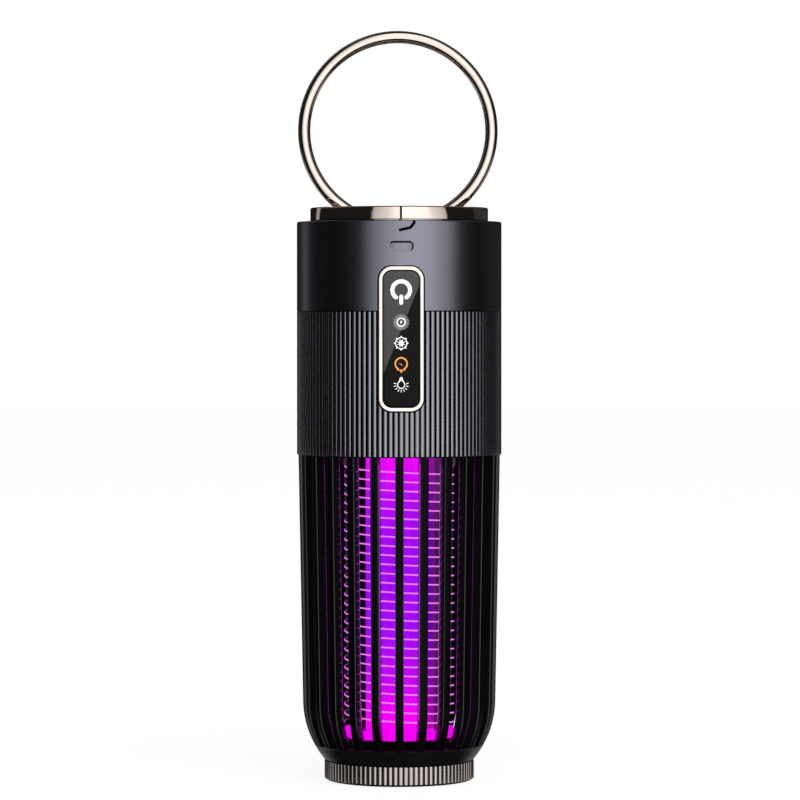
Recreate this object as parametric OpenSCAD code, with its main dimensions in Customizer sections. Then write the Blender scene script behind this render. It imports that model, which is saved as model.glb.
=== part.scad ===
// Portable insect-killer lantern: a violet lure light inside a high-voltage wire coil and a cage,
// under a housing with the battery and the electronics, with a folding ring handle and a screw-off base.
// Origin: centre of the base's underside. +Z is up, and the control panel faces -Y.

/* [Housing] */
// Outer radius of the housing
body_r = 38; // [37.6:0.1:38.6]
// Height of the housing's lower edge, where the cage starts
body_z0 = 121; // [121:0.5:121]
// Height of the line between the ribbed grip and the smooth collar
collar_z0 = 174.3; // [173:0.1:175]
// Height of the smooth collar's top edge
body_z1 = 207.4; // [207:0.1:208]
// Wall thickness of the housing's liner
liner_wall = 2; // [1.8:0.1:2.2]
// Number of ribs round the grip
grip_ribs = 120; // [90:2:120]
// Depth of the grip's grooves
grip_groove = 0.8; // [0.5:0.1:0.9]

/* [Cap and ring handle] */
// Outer radius of the top cap
cap_r = 33; // [32.6:0.1:33.2]
// Height of the cap's rim above the housing
cap_h = 5.2; // [5:0.1:5.6]
// Outer radius of the ring handle
ring_outer_r = 37.06; // [36.5:0.1:37.5]
// Thickness of the ring's rod
rod_d = 4.6; // [4.4:0.1:4.8]
// Height of the ring's centre above the base
ring_z = 241.2; // [241:0.1:241.6]

/* [Panel and port] */
// Width of the panel's bezel
panel_w = 16.6; // [16:0.1:17]
// Height of the panel's bezel
panel_h = 52.9; // [52:0.1:53.4]
// Height of the panel's centre
panel_z = 164.2; // [164:0.1:164.4]
// Width of the visible metal of the bezel
bezel_rim = 1.6; // [1.4:0.1:1.8]
// Width of the charging port's opening
port_w = 9; // [8.9:0.1:9.4]
// Height of the charging port's opening
port_h = 3.7; // [3.6:0.1:3.9]
// Height of the port's centre
port_z = 197.8; // [197.6:0.1:198]

/* [Cage and coil] */
// Number of upright cage fins
fins = 25; // [21:2:25]
// Width of one fin
fin_w = 3.1; // [2.8:0.1:3.2]
// Radial depth of one fin
fin_depth = 4.2; // [3.4:0.1:4.4]
// Outer radius of the cage at the housing
cage_top_r = 37.45; // [37.3:0.05:37.5]
// Outer radius of the cage where its sides start to curve in
cage_low_r = 35.8; // [35.6:0.1:36]
// Radius of the coil's wire centres
coil_r = 20.2; // [20.2:0.1:20.4]
// Thickness of the coil's wire
wire_d = 0.6; // [0.5:0.1:0.7]
// Rise of one wire in one turn
wire_lead = 6.8; // [6.4:0.1:7.2]
// Number of turns of each wire
wire_turns = 14; // [12:1:14]
// Outer radius of the lure light's tube
tube_r = 12.8; // [12.4:0.1:13]

/* [Base] */
// Outer radius of the base's knurl
base_r = 27.8; // [27.6:0.1:28]
// Height of the base's shoulder, where the cage starts
base_h = 7.8; // [7.6:0.1:7.8]
// Number of ribs round the base
base_ribs = 88; // [72:2:88]
// Angle that the base turns through to come off
base_turn = 60; // [50:5:60]
// Drop of the base over that turn
base_drop = 5.4; // [5.2:0.1:5.4]

/* [Hidden] */
$fn = 96;

eps = 0.01;
gap = 0.05;                                // assembly gap between parts that touch
liner_r = body_r - 2.2;                    // outer radius of the liner behind the grip
liner_in_r = liner_r - liner_wall;
grip_in_r = liner_r + 0.1;
grip_root_r = body_r - grip_groove;
liner_z0 = body_z0 + 8;                    // the liner stands on the cage's top ring
deck_t = 2;
deck_hole_r = 30;

// Ring handle and its well in the cap
rod_r = rod_d / 2;
ring_r = ring_outer_r - rod_r;
cap_z0 = body_z1 + 0.3;
cap_z1 = body_z1 + cap_h;
cap_rim_in_r = 30.2;
cap_screw_ring_r = 31.6;
well_r = 29.7;
well_wall = 1.2;
well_floor_z = ring_z - ring_outer_r - 0.6;
ring_x = -0.5;                             // the ring hangs a little to one side in its saddle
saddle_bore_r = rod_r + 0.1;
saddle_len = 5;                            // along X
saddle_w = 9;                              // along Y
saddle_top_t = 1.4;                        // metal over the ring
saddle_screw_y = saddle_w / 2 - 1;
saddle_screw_r = 0.5;
saddle_screw_tip_z = well_floor_z + 0.6;
rod_sag = ring_r - sqrt(ring_r * ring_r - saddle_len * saddle_len / 4);
hinge_z = ring_z - ring_r + rod_sag / 2;   // the bent rod strays equally to both sides of this line

// Panel stack, front to back along Y
panel_corner = 4.9;
bezel_y = -body_r - 0.6;
pocket_y = -liner_r + 0.8;
lens_y = bezel_y + 0.3;
lens_t = 1.4;
guide_y = lens_y + lens_t;
window_inset = 3.2;
panel_board_y = pocket_y + 1.8;
panel_board_t = 1.2;
panel_board_w = 12.8;
panel_board_h = 46;
key_heights = [17.7, 6.1, -1.5, -9.2, -16.2];  // icon rows from the panel's centre, top to bottom

// Inside the housing
cell_r = 9.2;
cell_h = 65;
cell_y = 10;
tab_t = 0.3;
frame_r = liner_in_r - 0.6;
frame_t = 2;
frame_z0 = liner_z0 - frame_t;
floor_z = liner_z0;                        // top of the frame's lower disc
cell_z0 = floor_z + gap + tab_t;
frame_top_z = cell_z0 + cell_h + tab_t + gap;
board_y = -7.8;
board_t = 1.6;
board_w = 41;
board_z0 = floor_z + gap;
board_h = 60;
lead_r = 0.5;
lead_sides = 12;
lead_z = frame_z0 - lead_r - gap;          // leads cross between the frame and the grid's head here
hv_hole = [15, -14];                       // where a high-voltage lead goes down through the frame
lamp_hole = [-6, -24];                     // where the lamp's lead does
port_board_t = 1.2;
port_board_w = 16;
port_board_z = port_z - 1.6 - port_board_t;

// Grid assembly
head_z0 = body_z0 + 1;
head_z1 = body_z0 + 4;
head_r = 33.2;
post_angles = [-40, -140, 40, 140];
post_r = 1.5;
post_ring_r = coil_r - wire_d / 2 - post_r - gap;
coil_z0 = 21.6;
carrier_z0 = 16.3;
carrier_z1 = 19.5;
carrier_r = 20.3;
tube_wall = 1.2;
tube_z0 = carrier_z1;
tube_z1 = head_z0;
terminal_r = 1.2;
terminal_x = coil_r;
led_board_t = 1.2;
lamp_lead_y = -led_board_t / 2 - lead_r - gap;
coil_z1 = coil_z0 + wire_lead * wire_turns;
screw_ring_r = 30.9;
screw_r = 1.3;
screw_head_r = 2.4;
screw_head_h = 1.6;

// Cage outline: a straight draft, then an arc that turns in to the base
arc_z = 30;
arc_r = 34.4;
arc_steps = 12;
fin_phase = -0.9;                          // turn of the whole cage about its axis
ring_top_z = 13.5;
cage_bore_r = 24.8;

// Base and its bayonet
neck_r = cage_bore_r - 0.3;
neck_z1 = base_h + 4.9;
neck_bore_r = 22.4;
lug_n = 3;
lug_r = neck_r + 1.3;
lug_h = 1.4;
lug_angle = 10;
lug_z1 = base_h + 4.3;
lug_clear = 0.3;
base_floor_z = 0.8;
base_floor_t = 1.2;
base_lip_z = 0.2;                          // underside of the rims on both sides of the foot
foot_in_r = 21.1;
foot_out_r = 24.5;
foot_fit = 0.1;
foot_sunk = 0.2;
tray_r = neck_bore_r - 0.4;
tray_wall = 1;
turn_per_mm = base_turn / base_drop;

// ---------- helpers ----------

// Ring profile turned about Z
module ring(r_in, r_out, z0, z1) {
    rotate_extrude()
        translate([r_in, z0])
            square([r_out - r_in, z1 - z0]);
}

// Rounded rectangle in the XY plane, of true arcs
module rounded_rect(w, h, r) {
    square([w - 2 * r, h], center = true);
    square([w, h - 2 * r], center = true);
    for (sx = [-1, 1], sy = [-1, 1])
        translate([sx * (w / 2 - r), sy * (h / 2 - r)])
            circle(r, $fn = 48);
}

// Rounded bar that faces -Y: its outline is in XZ about z, and it runs from y0 back to y1
module facing_bar(w, h, r, z, y0, y1) {
    translate([0, y1, z])
        rotate([90, 0, 0])
            linear_extrude(y1 - y0)
                rounded_rect(w, h, r);
}

// Outline with square ribs: 4 points a rib
function ribbed_outline(n, r_root, r_top, share) = [
    for (i = [0 : n - 1])
        let (mid = 360 * i / n, half = share * 180 / n)
            each [
                [r_root * cos(mid - half), r_root * sin(mid - half)],
                [r_top * cos(mid - half), r_top * sin(mid - half)],
                [r_top * cos(mid + half), r_top * sin(mid + half)],
                [r_root * cos(mid + half), r_root * sin(mid + half)]
            ]
];

// Places a copy at each of n angles
module around(n, first = 0) {
    for (i = [0 : n - 1])
        rotate(first + 360 * i / n)
            children();
}

// Places a copy at each listed angle
module at_angles(angles) {
    for (a = angles)
        rotate(a)
            children();
}

// Pan-head screw that points up, its head's underside at z
module screw_up(z, len, r = screw_r, head_r = screw_head_r, head_h = screw_head_h) {
    translate([0, 0, z - head_h])
        difference() {
            union() {
                cylinder(r = head_r, h = head_h, $fn = 32);
                translate([0, 0, head_h])
                    cylinder(r = r, h = len, $fn = 24);
            }
            for (a = [0, 90])
                rotate(a)
                    translate([-head_r * 0.6, -0.25, -eps])
                        cube([head_r * 1.2, 0.5, head_h * 0.5]);
        }
}

// Corner k of the lead's section at point i: the section runs straight on and is cut square to each bend
function lead_corner(points, r, i, k) =
    i == 0
    ? let (
        d = points[1] - points[0],
        side = cross(d, abs(d[2]) > norm(d) / 2 ? [1, 0, 0] : [0, 0, 1]),
        up = cross(side, d)
    )
    let (a = 360 * k / lead_sides)
    points[0] + r * (cos(a) * side / norm(side) + sin(a) * up / norm(up))
    : let (
        back = points[i] - points[i - 1],
        d = back / norm(back),
        on = i == len(points) - 1 ? d : (points[i + 1] - points[i]) / norm(points[i + 1] - points[i]),
        q = lead_corner(points, r, i - 1, k)
    )
    q + d * ((points[i] - q) * (d + on)) / (d * (d + on));

// Round lead bent through a list of points
module lead(points, r) {
    corners = [
        for (i = [0 : len(points) - 1], k = [0 : lead_sides - 1])
            lead_corner(points, r, i, k)
    ];
    side_faces = [
        for (i = [0 : len(points) - 2], k = [0 : lead_sides - 1])
            let (n = (k + 1) % lead_sides, a = i * lead_sides, b = a + lead_sides)
                each [[a + k, b + k, b + n], [a + k, b + n, a + n]]
    ];
    first_cap = [[for (k = [0 : lead_sides - 1]) k]];
    last_cap = [[for (k = [lead_sides - 1 : -1 : 0]) (len(points) - 1) * lead_sides + k]];
    polyhedron(corners, concat(side_faces, first_cap, last_cap));
}

// Swept helix of square-cornered rings, closed at both ends
module helix_wire(start_angle) {
    sides = 6;
    steps = wire_turns * 20;
    wire_r = wire_d / 2;
    points = [
        for (i = [0 : steps], k = [0 : sides - 1])
            let (
                a = start_angle - 360 * wire_turns * i / steps,
                z = coil_z0 + wire_lead * wire_turns * i / steps,
                r = coil_r + wire_r * cos(360 * k / sides)
            )
            [r * cos(a), r * sin(a), z + wire_r * sin(360 * k / sides)]
    ];
    side_faces = [
        for (i = [0 : steps - 1], k = [0 : sides - 1])
            let (n = (k + 1) % sides, a = i * sides, b = a + sides)
                each [[a + k, b + k, b + n], [a + k, b + n, a + n]]
    ];
    first_cap = [[for (k = [0 : sides - 1]) k]];
    last_cap = [[for (k = [sides - 1 : -1 : 0]) steps * sides + k]];
    polyhedron(points, concat(side_faces, first_cap, last_cap));
}

// ---------- ring handle and cap ----------

module handle_ring() {
    color("#b9aca3")
        translate([ring_x, 0, ring_z])
            rotate([90, 0, 0])
                rotate_extrude($fn = 128)
                    translate([ring_r, 0])
                        circle(rod_r, $fn = 48);
}

// Lower half of the hinge: a block in the cap's well with half of the ring's bore
module handle_saddle() {
    color("#8f8a86")
        difference() {
            translate([-saddle_len / 2, -saddle_w / 2, well_floor_z])
                cube([saddle_len, saddle_w, hinge_z - gap - well_floor_z]);
            saddle_bore();
            for (s = [-1, 1])
                translate([0, s * saddle_screw_y, saddle_screw_tip_z])
                    cylinder(r = saddle_screw_r, h = 9, $fn = 24);
        }
}

module saddle_bore() {
    translate([-saddle_len, 0, hinge_z])
        rotate([0, 90, 0])
            cylinder(r = saddle_bore_r, h = 2 * saddle_len, $fn = 48);
}

// Upper half of the hinge: a bridge over the ring
module saddle_strap() {
    color("#8f8a86")
        difference() {
            translate([-saddle_len / 2, -saddle_w / 2, hinge_z])
                cube([saddle_len, saddle_w, rod_r + saddle_top_t]);
            saddle_bore();
            for (s = [-1, 1])
                translate([0, s * saddle_screw_y, hinge_z - eps])
                    cylinder(r = saddle_screw_r, h = 9, $fn = 24);
        }
}

module saddle_screws() {
    top = hinge_z + rod_r + saddle_top_t;
    color("#d8d4cc")
        for (s = [-1, 1])
            translate([0, s * saddle_screw_y, top])
                rotate([180, 0, 0])
                    screw_up(0, top - saddle_screw_tip_z, saddle_screw_r, 0.9, 0.6);
}

// Pan-shaped cap: a rim above the housing and a well that drops through its deck
module top_cap() {
    bevel = 0.5;
    color("#c9b8ac")
        difference() {
            rotate_extrude($fn = 128)
                polygon([
                    [0, well_floor_z - well_wall],
                    [well_r, well_floor_z - well_wall],
                    [well_r, cap_z0],
                    [cap_r, cap_z0],
                    [cap_r, cap_z1 - bevel],
                    [cap_r - bevel, cap_z1],
                    [cap_rim_in_r + bevel, cap_z1],
                    [cap_rim_in_r, cap_z1 - bevel],
                    [cap_rim_in_r, cap_z0 + 1.2],
                    [well_r - well_wall, cap_z0 + 1.2],
                    [well_r - well_wall, well_floor_z],
                    [0, well_floor_z]
                ]);
            // seam line down the front of the rim
            translate([-0.3, -cap_r - 1, cap_z0 - 1])
                cube([0.6, 1.4, cap_h + 2]);
            around(3, 30)
                translate([cap_screw_ring_r, 0, cap_z0 - eps])
                    cylinder(r = 0.7, h = 3.5, $fn = 24);
        }
}

module cap_screws() {
    color("#d8d4cc")
        around(3, 30)
            translate([cap_screw_ring_r, 0, body_z1 - deck_t])
                screw_up(0, deck_t + 3, 0.7, 1.5, 1);
}

// ---------- housing ----------

module pocket() {
    facing_bar(panel_w + 2 * gap, panel_h + 2 * gap, panel_corner + gap, panel_z, -body_r - 5, pocket_y);
}

module port_hole() {
    facing_bar(port_w, port_h, port_h / 2 - 0.3, port_z, -body_r - 5, -body_r + 8);
}

// Corner i of one side of a line of width w through the points, mitred at the bends
function stroke_side(points, i, w, side) =
    let (
        before = points[max(i, 1)] - points[max(i, 1) - 1],
        after = points[min(i, len(points) - 2) + 1] - points[min(i, len(points) - 2)],
        u = before / norm(before),
        v = after / norm(after),
        n = [-u[1] - v[1], u[0] + v[0]] / norm(u + v)
    )
    points[i] + side * w / 2 / (n * [-u[1], u[0]]) * n;

// Hook-shaped index groove, cut into the collar's upper edge
module index_groove() {
    line_w = 0.8;
    line_depth = 0.7;
    bends = [[-0.4, 203.7], [3.3, 204.55], [4.75, 206.3], [4.45, 208.5]];
    last = len(bends) - 1;
    translate([0, -body_r + line_depth, 0])
        rotate([90, 0, 0])
            linear_extrude(3)
                polygon(concat(
                    [for (i = [0 : last]) stroke_side(bends, i, line_w, 1)],
                    [for (i = [last : -1 : 0]) stroke_side(bends, i, line_w, -1)]
                ));
}

module upper_shell() {
    edge = 0.5;
    shoulder = 0.4;
    color("#33343a")
        difference() {
            rotate_extrude($fn = 128)
                polygon([
                    [liner_in_r, liner_z0],
                    [liner_r, liner_z0],
                    [liner_r, collar_z0],
                    [body_r - shoulder, collar_z0],
                    [body_r, collar_z0 + shoulder],
                    [body_r, body_z1 - edge],
                    [body_r - edge, body_z1],
                    [deck_hole_r, body_z1],
                    [deck_hole_r, body_z1 - deck_t],
                    [liner_in_r, body_z1 - deck_t]
                ]);
            pocket();
            facing_bar(panel_w - 2 * window_inset, panel_h - 2 * window_inset, 2, panel_z,
                -body_r - 5, -body_r + 8);
            port_hole();
            index_groove();
            around(3, 30)
                translate([cap_screw_ring_r, 0, body_z1 - deck_t - eps])
                    cylinder(r = 0.85, h = deck_t + 1, $fn = 24);
        }
}

// Grip sleeve with upright ribs
module ribbed_grip() {
    rib_share = 0.6;
    color("#3c3d44")
        difference() {
            translate([0, 0, body_z0])
                linear_extrude(collar_z0 - body_z0 - gap)
                    polygon(ribbed_outline(grip_ribs, grip_root_r, body_r, rib_share));
            translate([0, 0, body_z0 - 1])
                cylinder(r = grip_in_r, h = collar_z0 - body_z0 + 2, $fn = 128);
            pocket();
        }
}

// Soft plug that fills the port's opening, with a lip to pull it by
module port_plug() {
    depth = 3.2;
    sunk = 0.6;
    fit = 0.15;
    color("#2c2d32")
        difference() {
            facing_bar(port_w - 2 * fit, port_h - 2 * fit, port_h / 2 - 0.45, port_z,
                -body_r + sunk, -body_r + sunk + depth);
            facing_bar(port_w - 2.4, port_h - 2.2, 0.5, port_z, -body_r, -body_r + sunk + 0.3);
        }
}

module charging_socket() {
    front = -body_r + 4.2;
    color("#b8bcc2")
        difference() {
            facing_bar(8.9, 3.2, 1.5, port_z, front, front + 7.3);
            facing_bar(8.3, 2.6, 1.25, port_z, front - 1, front + 6.2);
        }
    color("#202020")
        facing_bar(6.6, 0.7, 0.3, port_z, front + 1, front + 6.5);
}

module port_board() {
    color("#1f5a36")
        translate([-port_board_w / 2, -33, port_board_z])
            cube([port_board_w, 13, port_board_t]);
}

// ---------- control panel ----------

module panel_bezel() {
    lip = 0.4;
    color("#d9cbbf")
        difference() {
            union() {
                facing_bar(panel_w, panel_h, panel_corner, panel_z, bezel_y + lip, pocket_y);
                facing_bar(panel_w - lip, panel_h - lip, panel_corner - lip / 2, panel_z, bezel_y, pocket_y);
            }
            facing_bar(panel_w - 2 * bezel_rim, panel_h - 2 * bezel_rim, panel_corner - bezel_rim, panel_z,
                bezel_y - 1, pocket_y + 1);
        }
}

module panel_lens() {
    color("#0b0b0d")
        facing_bar(panel_w - 2 * bezel_rim, panel_h - 2 * bezel_rim, panel_corner - bezel_rim, panel_z,
            lens_y, lens_y + lens_t);
}

// Block behind the lens that keeps each icon's light apart
module panel_light_guide() {
    cell_pitch = 3.6;
    color("#e8e8e8")
        difference() {
            facing_bar(panel_w - 2 * bezel_rim, panel_h - 2 * bezel_rim, panel_corner - bezel_rim, panel_z,
                guide_y, pocket_y);
            for (k = key_heights)
                translate([0, pocket_y + 1, panel_z + k])
                    rotate([90, 0, 0])
                        cylinder(r = cell_pitch / 2, h = 8, $fn = 32);
        }
}

module panel_board() {
    color("#1f5a36")
        translate([-panel_board_w / 2, panel_board_y, panel_z - panel_board_h / 2])
            cube([panel_board_w, panel_board_t, panel_board_h]);
}

// One light behind each icon
module panel_leds() {
    led = 1.6;
    color("#fff6dd")
        for (k = key_heights)
            translate([-led / 2, panel_board_y - 0.8, panel_z + k - led / 2])
                cube([led, 0.8, led]);
}

// Coil springs, drawn as tubes, that carry the touch signal from the lens to the board
module touch_springs() {
    color("#d8d4cc")
        for (k = [11.5, -12.5])
            translate([0, panel_board_y, panel_z + k])
                rotate([90, 0, 0])
                    difference() {
                        cylinder(r = 1.8, h = panel_board_y - pocket_y, $fn = 32);
                        translate([0, 0, -1])
                            cylinder(r = 1.4, h = 5, $fn = 32);
                    }
}

// ---------- inside the housing ----------

// Carries the battery behind and the board in front, between two discs
module inner_frame() {
    shelf_t = 1.6;
    cradle_in = cell_r + 0.3;
    cradle_out = cradle_in + 1.8;
    color("#dcdcd8")
        difference() {
            union() {
                translate([0, 0, frame_z0])
                    cylinder(r = frame_r, h = frame_t);
                translate([0, 0, frame_top_z])
                    cylinder(r = frame_r, h = frame_t);
                translate([0, cell_y, frame_z0])
                    cylinder(r = cradle_out, h = frame_top_z - frame_z0 + eps);
                for (s = [-1, 1])
                    translate([s * (board_w / 2) - 2.5, board_y - 2, frame_z0])
                        cube([5, 5.6, frame_top_z - frame_z0 + eps]);
            }
            // the cell's room, and the cradle's open front
            translate([0, cell_y, frame_z0 + frame_t])
                cylinder(r = cradle_in, h = frame_top_z - frame_z0 - frame_t);
            translate([-cradle_out, -5, frame_z0 + frame_t])
                cube([2 * cradle_out, 9, frame_top_z - frame_z0 - frame_t]);
            // the board's slot
            translate([-board_w / 2 - 0.1, board_y - 0.1, frame_z0 + frame_t])
                cube([board_w + 0.2, board_t + 0.2, frame_top_z - frame_z0 - frame_t]);
            // room for the port's board and for leads
            translate([-10, -40, frame_top_z - 5])
                cube([20, 24, 12]);
            for (at = [lamp_hole, hv_hole, [-hv_hole[0], hv_hole[1]]])
                translate([at[0], at[1], frame_z0 - 1])
                    cylinder(r = 2, h = frame_t + 2);
            around(3, 90)
                translate([screw_ring_r, 0, frame_z0 - eps])
                    cylinder(r = screw_r, h = frame_t + 1, $fn = 24);
        }
    // shelf under the port's board
    color("#dcdcd8")
        translate([-9, -32, port_board_z - gap - shelf_t])
            cube([18, 18, shelf_t]);
}

module battery_cell() {
    color("#3a78b5")
        translate([0, cell_y, cell_z0])
            rotate_extrude()
                polygon([
                    [0, 0],
                    [cell_r - 0.4, 0],
                    [cell_r, 0.4],
                    [cell_r, cell_h - 1.2],
                    [cell_r - 0.8, cell_h - 0.4],
                    [3, cell_h - 0.4],
                    [3, cell_h],
                    [0, cell_h]
                ]);
}

module battery_tabs() {
    color("#cfcfcf")
        for (z = [cell_z0 - tab_t, cell_z0 + cell_h])
            translate([-4, cell_y - 12, z])
                cube([8, 16, tab_t]);
}

module main_board() {
    color("#1f5a36")
        translate([-board_w / 2, board_y, board_z0])
            cube([board_w, board_t, board_h]);
}

module step_up_transformer() {
    core_h = 13;
    translate([-14, board_y, board_z0 + 6]) {
        color("#3b3b3b")
            difference() {
                translate([0, -11, 0])
                    cube([13, 11, core_h]);
                translate([-1, -9, 3])
                    cube([15, 7, core_h - 6]);
            }
        color("#c98f2c")
            translate([6.5, -9, core_h / 2])
                rotate([-90, 0, 0])
                    cylinder(r = 3.2, h = 7);
    }
}

module high_voltage_capacitor() {
    color("#a8492a")
        translate([3, board_y - 7, board_z0 + 6])
            linear_extrude(12)
                translate([7.5, 3.5])
                    rounded_rect(15, 7, 1.5);
}

module reservoir_capacitor() {
    color("#2a2f6e")
        translate([10, board_y, board_z0 + 32])
            rotate([90, 0, 0])
                cylinder(r = 4, h = 11);
}

module controller_chip() {
    color("#222222")
        translate([-9, board_y - 1.5, board_z0 + 30])
            cube([6, 1.5, 5]);
}

// High-voltage leads to the grid terminals, and the lamp's pair of leads
module wiring() {
    start_y = board_y - lead_r - gap;
    board_back = board_y + board_t + lead_r + 0.1;
    color("#c22a2a")
        for (s = [-1, 1])
            lead([
                [s * hv_hole[0], start_y, board_z0 + 5],
                [s * hv_hole[0], hv_hole[1], board_z0 + 2],
                [s * hv_hole[0], hv_hole[1], lead_z],
                [s * terminal_x, 0, lead_z]
            ], lead_r);
    color("#dddddd")
        lead([
            [lamp_hole[0], start_y, board_z0 + 4],
            [lamp_hole[0], lamp_hole[1], board_z0 + 2],
            [lamp_hole[0], lamp_hole[1], lead_z],
            [0, lamp_lead_y, lead_z],
            [0, lamp_lead_y, head_z0 - 2]
        ], lead_r);
    // battery to board, below and above
    color("#e0b23a") {
        lead([[2, -1.5, cell_z0 + lead_r + gap], [2, board_back, board_z0 + 3]], lead_r);
        lead([[-2, -1.5, cell_z0 + cell_h - lead_r - gap], [-2, board_back, board_z0 + board_h - 1]], lead_r);
    }
}

// ---------- grid and lure light ----------

// Ring that plugs into the grip and carries the fins
module cage_top_ring() {
    flange_z0 = body_z0 + 4;
    flange_in_r = 28.5;
    color("#141416")
        difference() {
            union() {
                ring(liner_in_r + 0.2, grip_in_r - 0.2, body_z0, liner_z0 - gap);
                ring(flange_in_r, liner_in_r + 0.3, flange_z0, flange_z0 + 2);
            }
            around(3, 90)
                translate([screw_ring_r, 0, flange_z0 - 1])
                    cylinder(r = screw_r + 0.15, h = 4, $fn = 24);
        }
}

// Disc that holds the posts, the light and the terminals
module grid_head() {
    hub_r = 16;
    hub_rise = 0.6;
    color("#1b1b1e")
        difference() {
            union() {
                translate([0, 0, head_z0])
                    cylinder(r = head_r, h = head_z1 - head_z0);
                translate([0, 0, head_z0])
                    cylinder(r = hub_r, h = head_z1 - head_z0 + hub_rise);
            }
            for (a = [0, 180])
                rotate(a)
                    translate([terminal_x, 0, head_z0 - 1])
                        cylinder(r = terminal_r, h = 9, $fn = 24);
            translate([0, lamp_lead_y, head_z0 - 1])
                cylinder(r = lead_r + 0.1, h = 9, $fn = 24);
            around(3, 90)
                translate([screw_ring_r, 0, head_z0 - 1])
                    cylinder(r = screw_r + 0.15, h = 9, $fn = 24);
            around(3, 90)
                translate([screw_ring_r, 0, head_z0 - 1])
                    cylinder(r = screw_head_r + 0.2, h = 2, $fn = 32);
            at_angles(post_angles)
                translate([post_ring_r, 0, head_z0 - 1])
                    cylinder(r = post_r, h = 3, $fn = 32);
        }
}

// Screws that clamp the grid's head, the cage's ring and the inner frame together
module clamp_screws() {
    color("#d8d4cc")
        around(3, 90)
            translate([screw_ring_r, 0, head_z0 + 1])
                screw_up(0, 6.5, screw_r, screw_head_r, 1.2);
}

module grid_terminals() {
    color("#c8a64b")
        for (a = [0, 180])
            rotate(a)
                translate([terminal_x, 0, coil_z1 + wire_d / 2])
                    cylinder(r = terminal_r, h = lead_z - lead_r - gap - coil_z1 - wire_d / 2, $fn = 24);
}

// Posts that the two wires are wound round
module grid_posts() {
    color("#202024")
        at_angles(post_angles)
            translate([post_ring_r, 0, carrier_z1])
                cylinder(r = post_r, h = head_z0 + 2 - carrier_z1, $fn = 32);
}

module grid_wire_a() {
    color("#e6d2e8")
        helix_wire(0);
}

module grid_wire_b() {
    color("#e6d2e8")
        helix_wire(180);
}

module light_tube() {
    color("#9b20ff")
        ring(tube_r - tube_wall, tube_r, tube_z0, tube_z1);
}

module led_board() {
    strip_w = 12;
    color("#f0f0f0")
        translate([-strip_w / 2, -led_board_t / 2, tube_z0])
            cube([strip_w, led_board_t, tube_z1 - tube_z0]);
}

// Violet and white lights on both faces of the strip
module lure_leds() {
    led = 3.5;
    led_t = 0.9;
    rows = 9;
    pitch = 10.5;
    color("#c77bff")
        for (i = [0 : rows - 1], s = [-1, 1])
            translate([0, s * (led_board_t + led_t) / 2, tube_z0 + 8 + i * pitch])
                cube([led, led_t, led], center = true);
}

// Lit disc that closes the grid below
module lower_carrier() {
    color("#c23bff")
        difference() {
            translate([0, 0, carrier_z0])
                cylinder(r = carrier_r, h = carrier_z1 - carrier_z0);
            at_angles(post_angles)
                translate([post_ring_r, 0, carrier_z0 - 1])
                    cylinder(r = 0.8, h = 6, $fn = 24);
        }
}

module carrier_screws() {
    color("#d8d4cc")
        at_angles(post_angles)
            translate([post_ring_r, 0, carrier_z0])
                screw_up(0, 3.2, 0.8, 1.5, 0.9);
}

// ---------- cage ----------

// Outer radius of the cage at a height in the curved part
function arc_outline_r(z) = cage_low_r - arc_r + sqrt(arc_r * arc_r - (arc_z - z) * (arc_z - z));

// Height of step i on the way from the arc's start down to z_end
function arc_step_z(i, z_end) = arc_z + (z_end - arc_z) * i / arc_steps;

module cage_fins() {
    fin_outer = concat(
        [[cage_top_r, body_z0]],
        [for (i = [0 : arc_steps]) [arc_outline_r(arc_step_z(i, ring_top_z)), arc_step_z(i, ring_top_z)]]
    );
    fin_inner = [for (i = [len(fin_outer) - 1 : -1 : 0]) [fin_outer[i][0] - fin_depth, fin_outer[i][1]]];
    color("#0d0d0f")
        around(fins, -90 + fin_phase)
            rotate([90, 0, 0])
                translate([0, 0, -fin_w / 2])
                    linear_extrude(fin_w)
                        polygon(concat(fin_outer, fin_inner));
}

// Slot that a lug runs down as the base turns: the lug's own section, swept along its helix
module lug_slot() {
    top = lug_z1 + lug_clear;
    bottom = base_h - 0.5;
    drop = top - bottom;
    lead_angle = (lug_h + 2 * lug_clear) * turn_per_mm;
    from = -lug_angle / 2 - 1.5;
    to = lug_angle / 2 + 1.5 + lead_angle;
    r0 = cage_bore_r - 1;
    r1 = lug_r + lug_clear;
    steps = 8;
    arc = [for (i = [0 : steps]) from + (to - from) * i / steps];
    translate([0, 0, bottom])
        rotate(-drop * turn_per_mm)
            linear_extrude(drop, twist = -drop * turn_per_mm, slices = 16, $fn = 8)
                polygon(concat(
                    [for (a = arc) [r1 * cos(a), r1 * sin(a)]],
                    [for (i = [steps : -1 : 0]) [r0 * cos(arc[i]), r0 * sin(arc[i])]]
                ));
}

module cage_bottom_ring() {
    outline = [for (i = [0 : 6])
        let (z = ring_top_z + (base_h + 0.2 - ring_top_z) * i / 6)
            [arc_outline_r(z), z]
    ];
    color("#0d0d0f")
        difference() {
            rotate_extrude()
                polygon(concat(outline, [[cage_bore_r, base_h + 0.2], [cage_bore_r, ring_top_z]]));
            around(lug_n, 30)
                lug_slot();
        }
}

// ---------- base ----------

module collection_tray() {
    floor_z = base_floor_z + base_floor_t;
    color("#2a2a2e")
        difference() {
            translate([0, 0, floor_z])
                cylinder(r = tray_r, h = neck_z1 - 0.6 - floor_z);
            translate([0, 0, floor_z + tray_wall])
                cylinder(r = tray_r - tray_wall, h = 20);
        }
}

// Soft ring that the base's shoulder presses against the cage
module base_seal() {
    color("#050505")
        ring(neck_r + gap, neck_r + 2, base_h - 0.5, base_h + 0.15);
}

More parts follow.
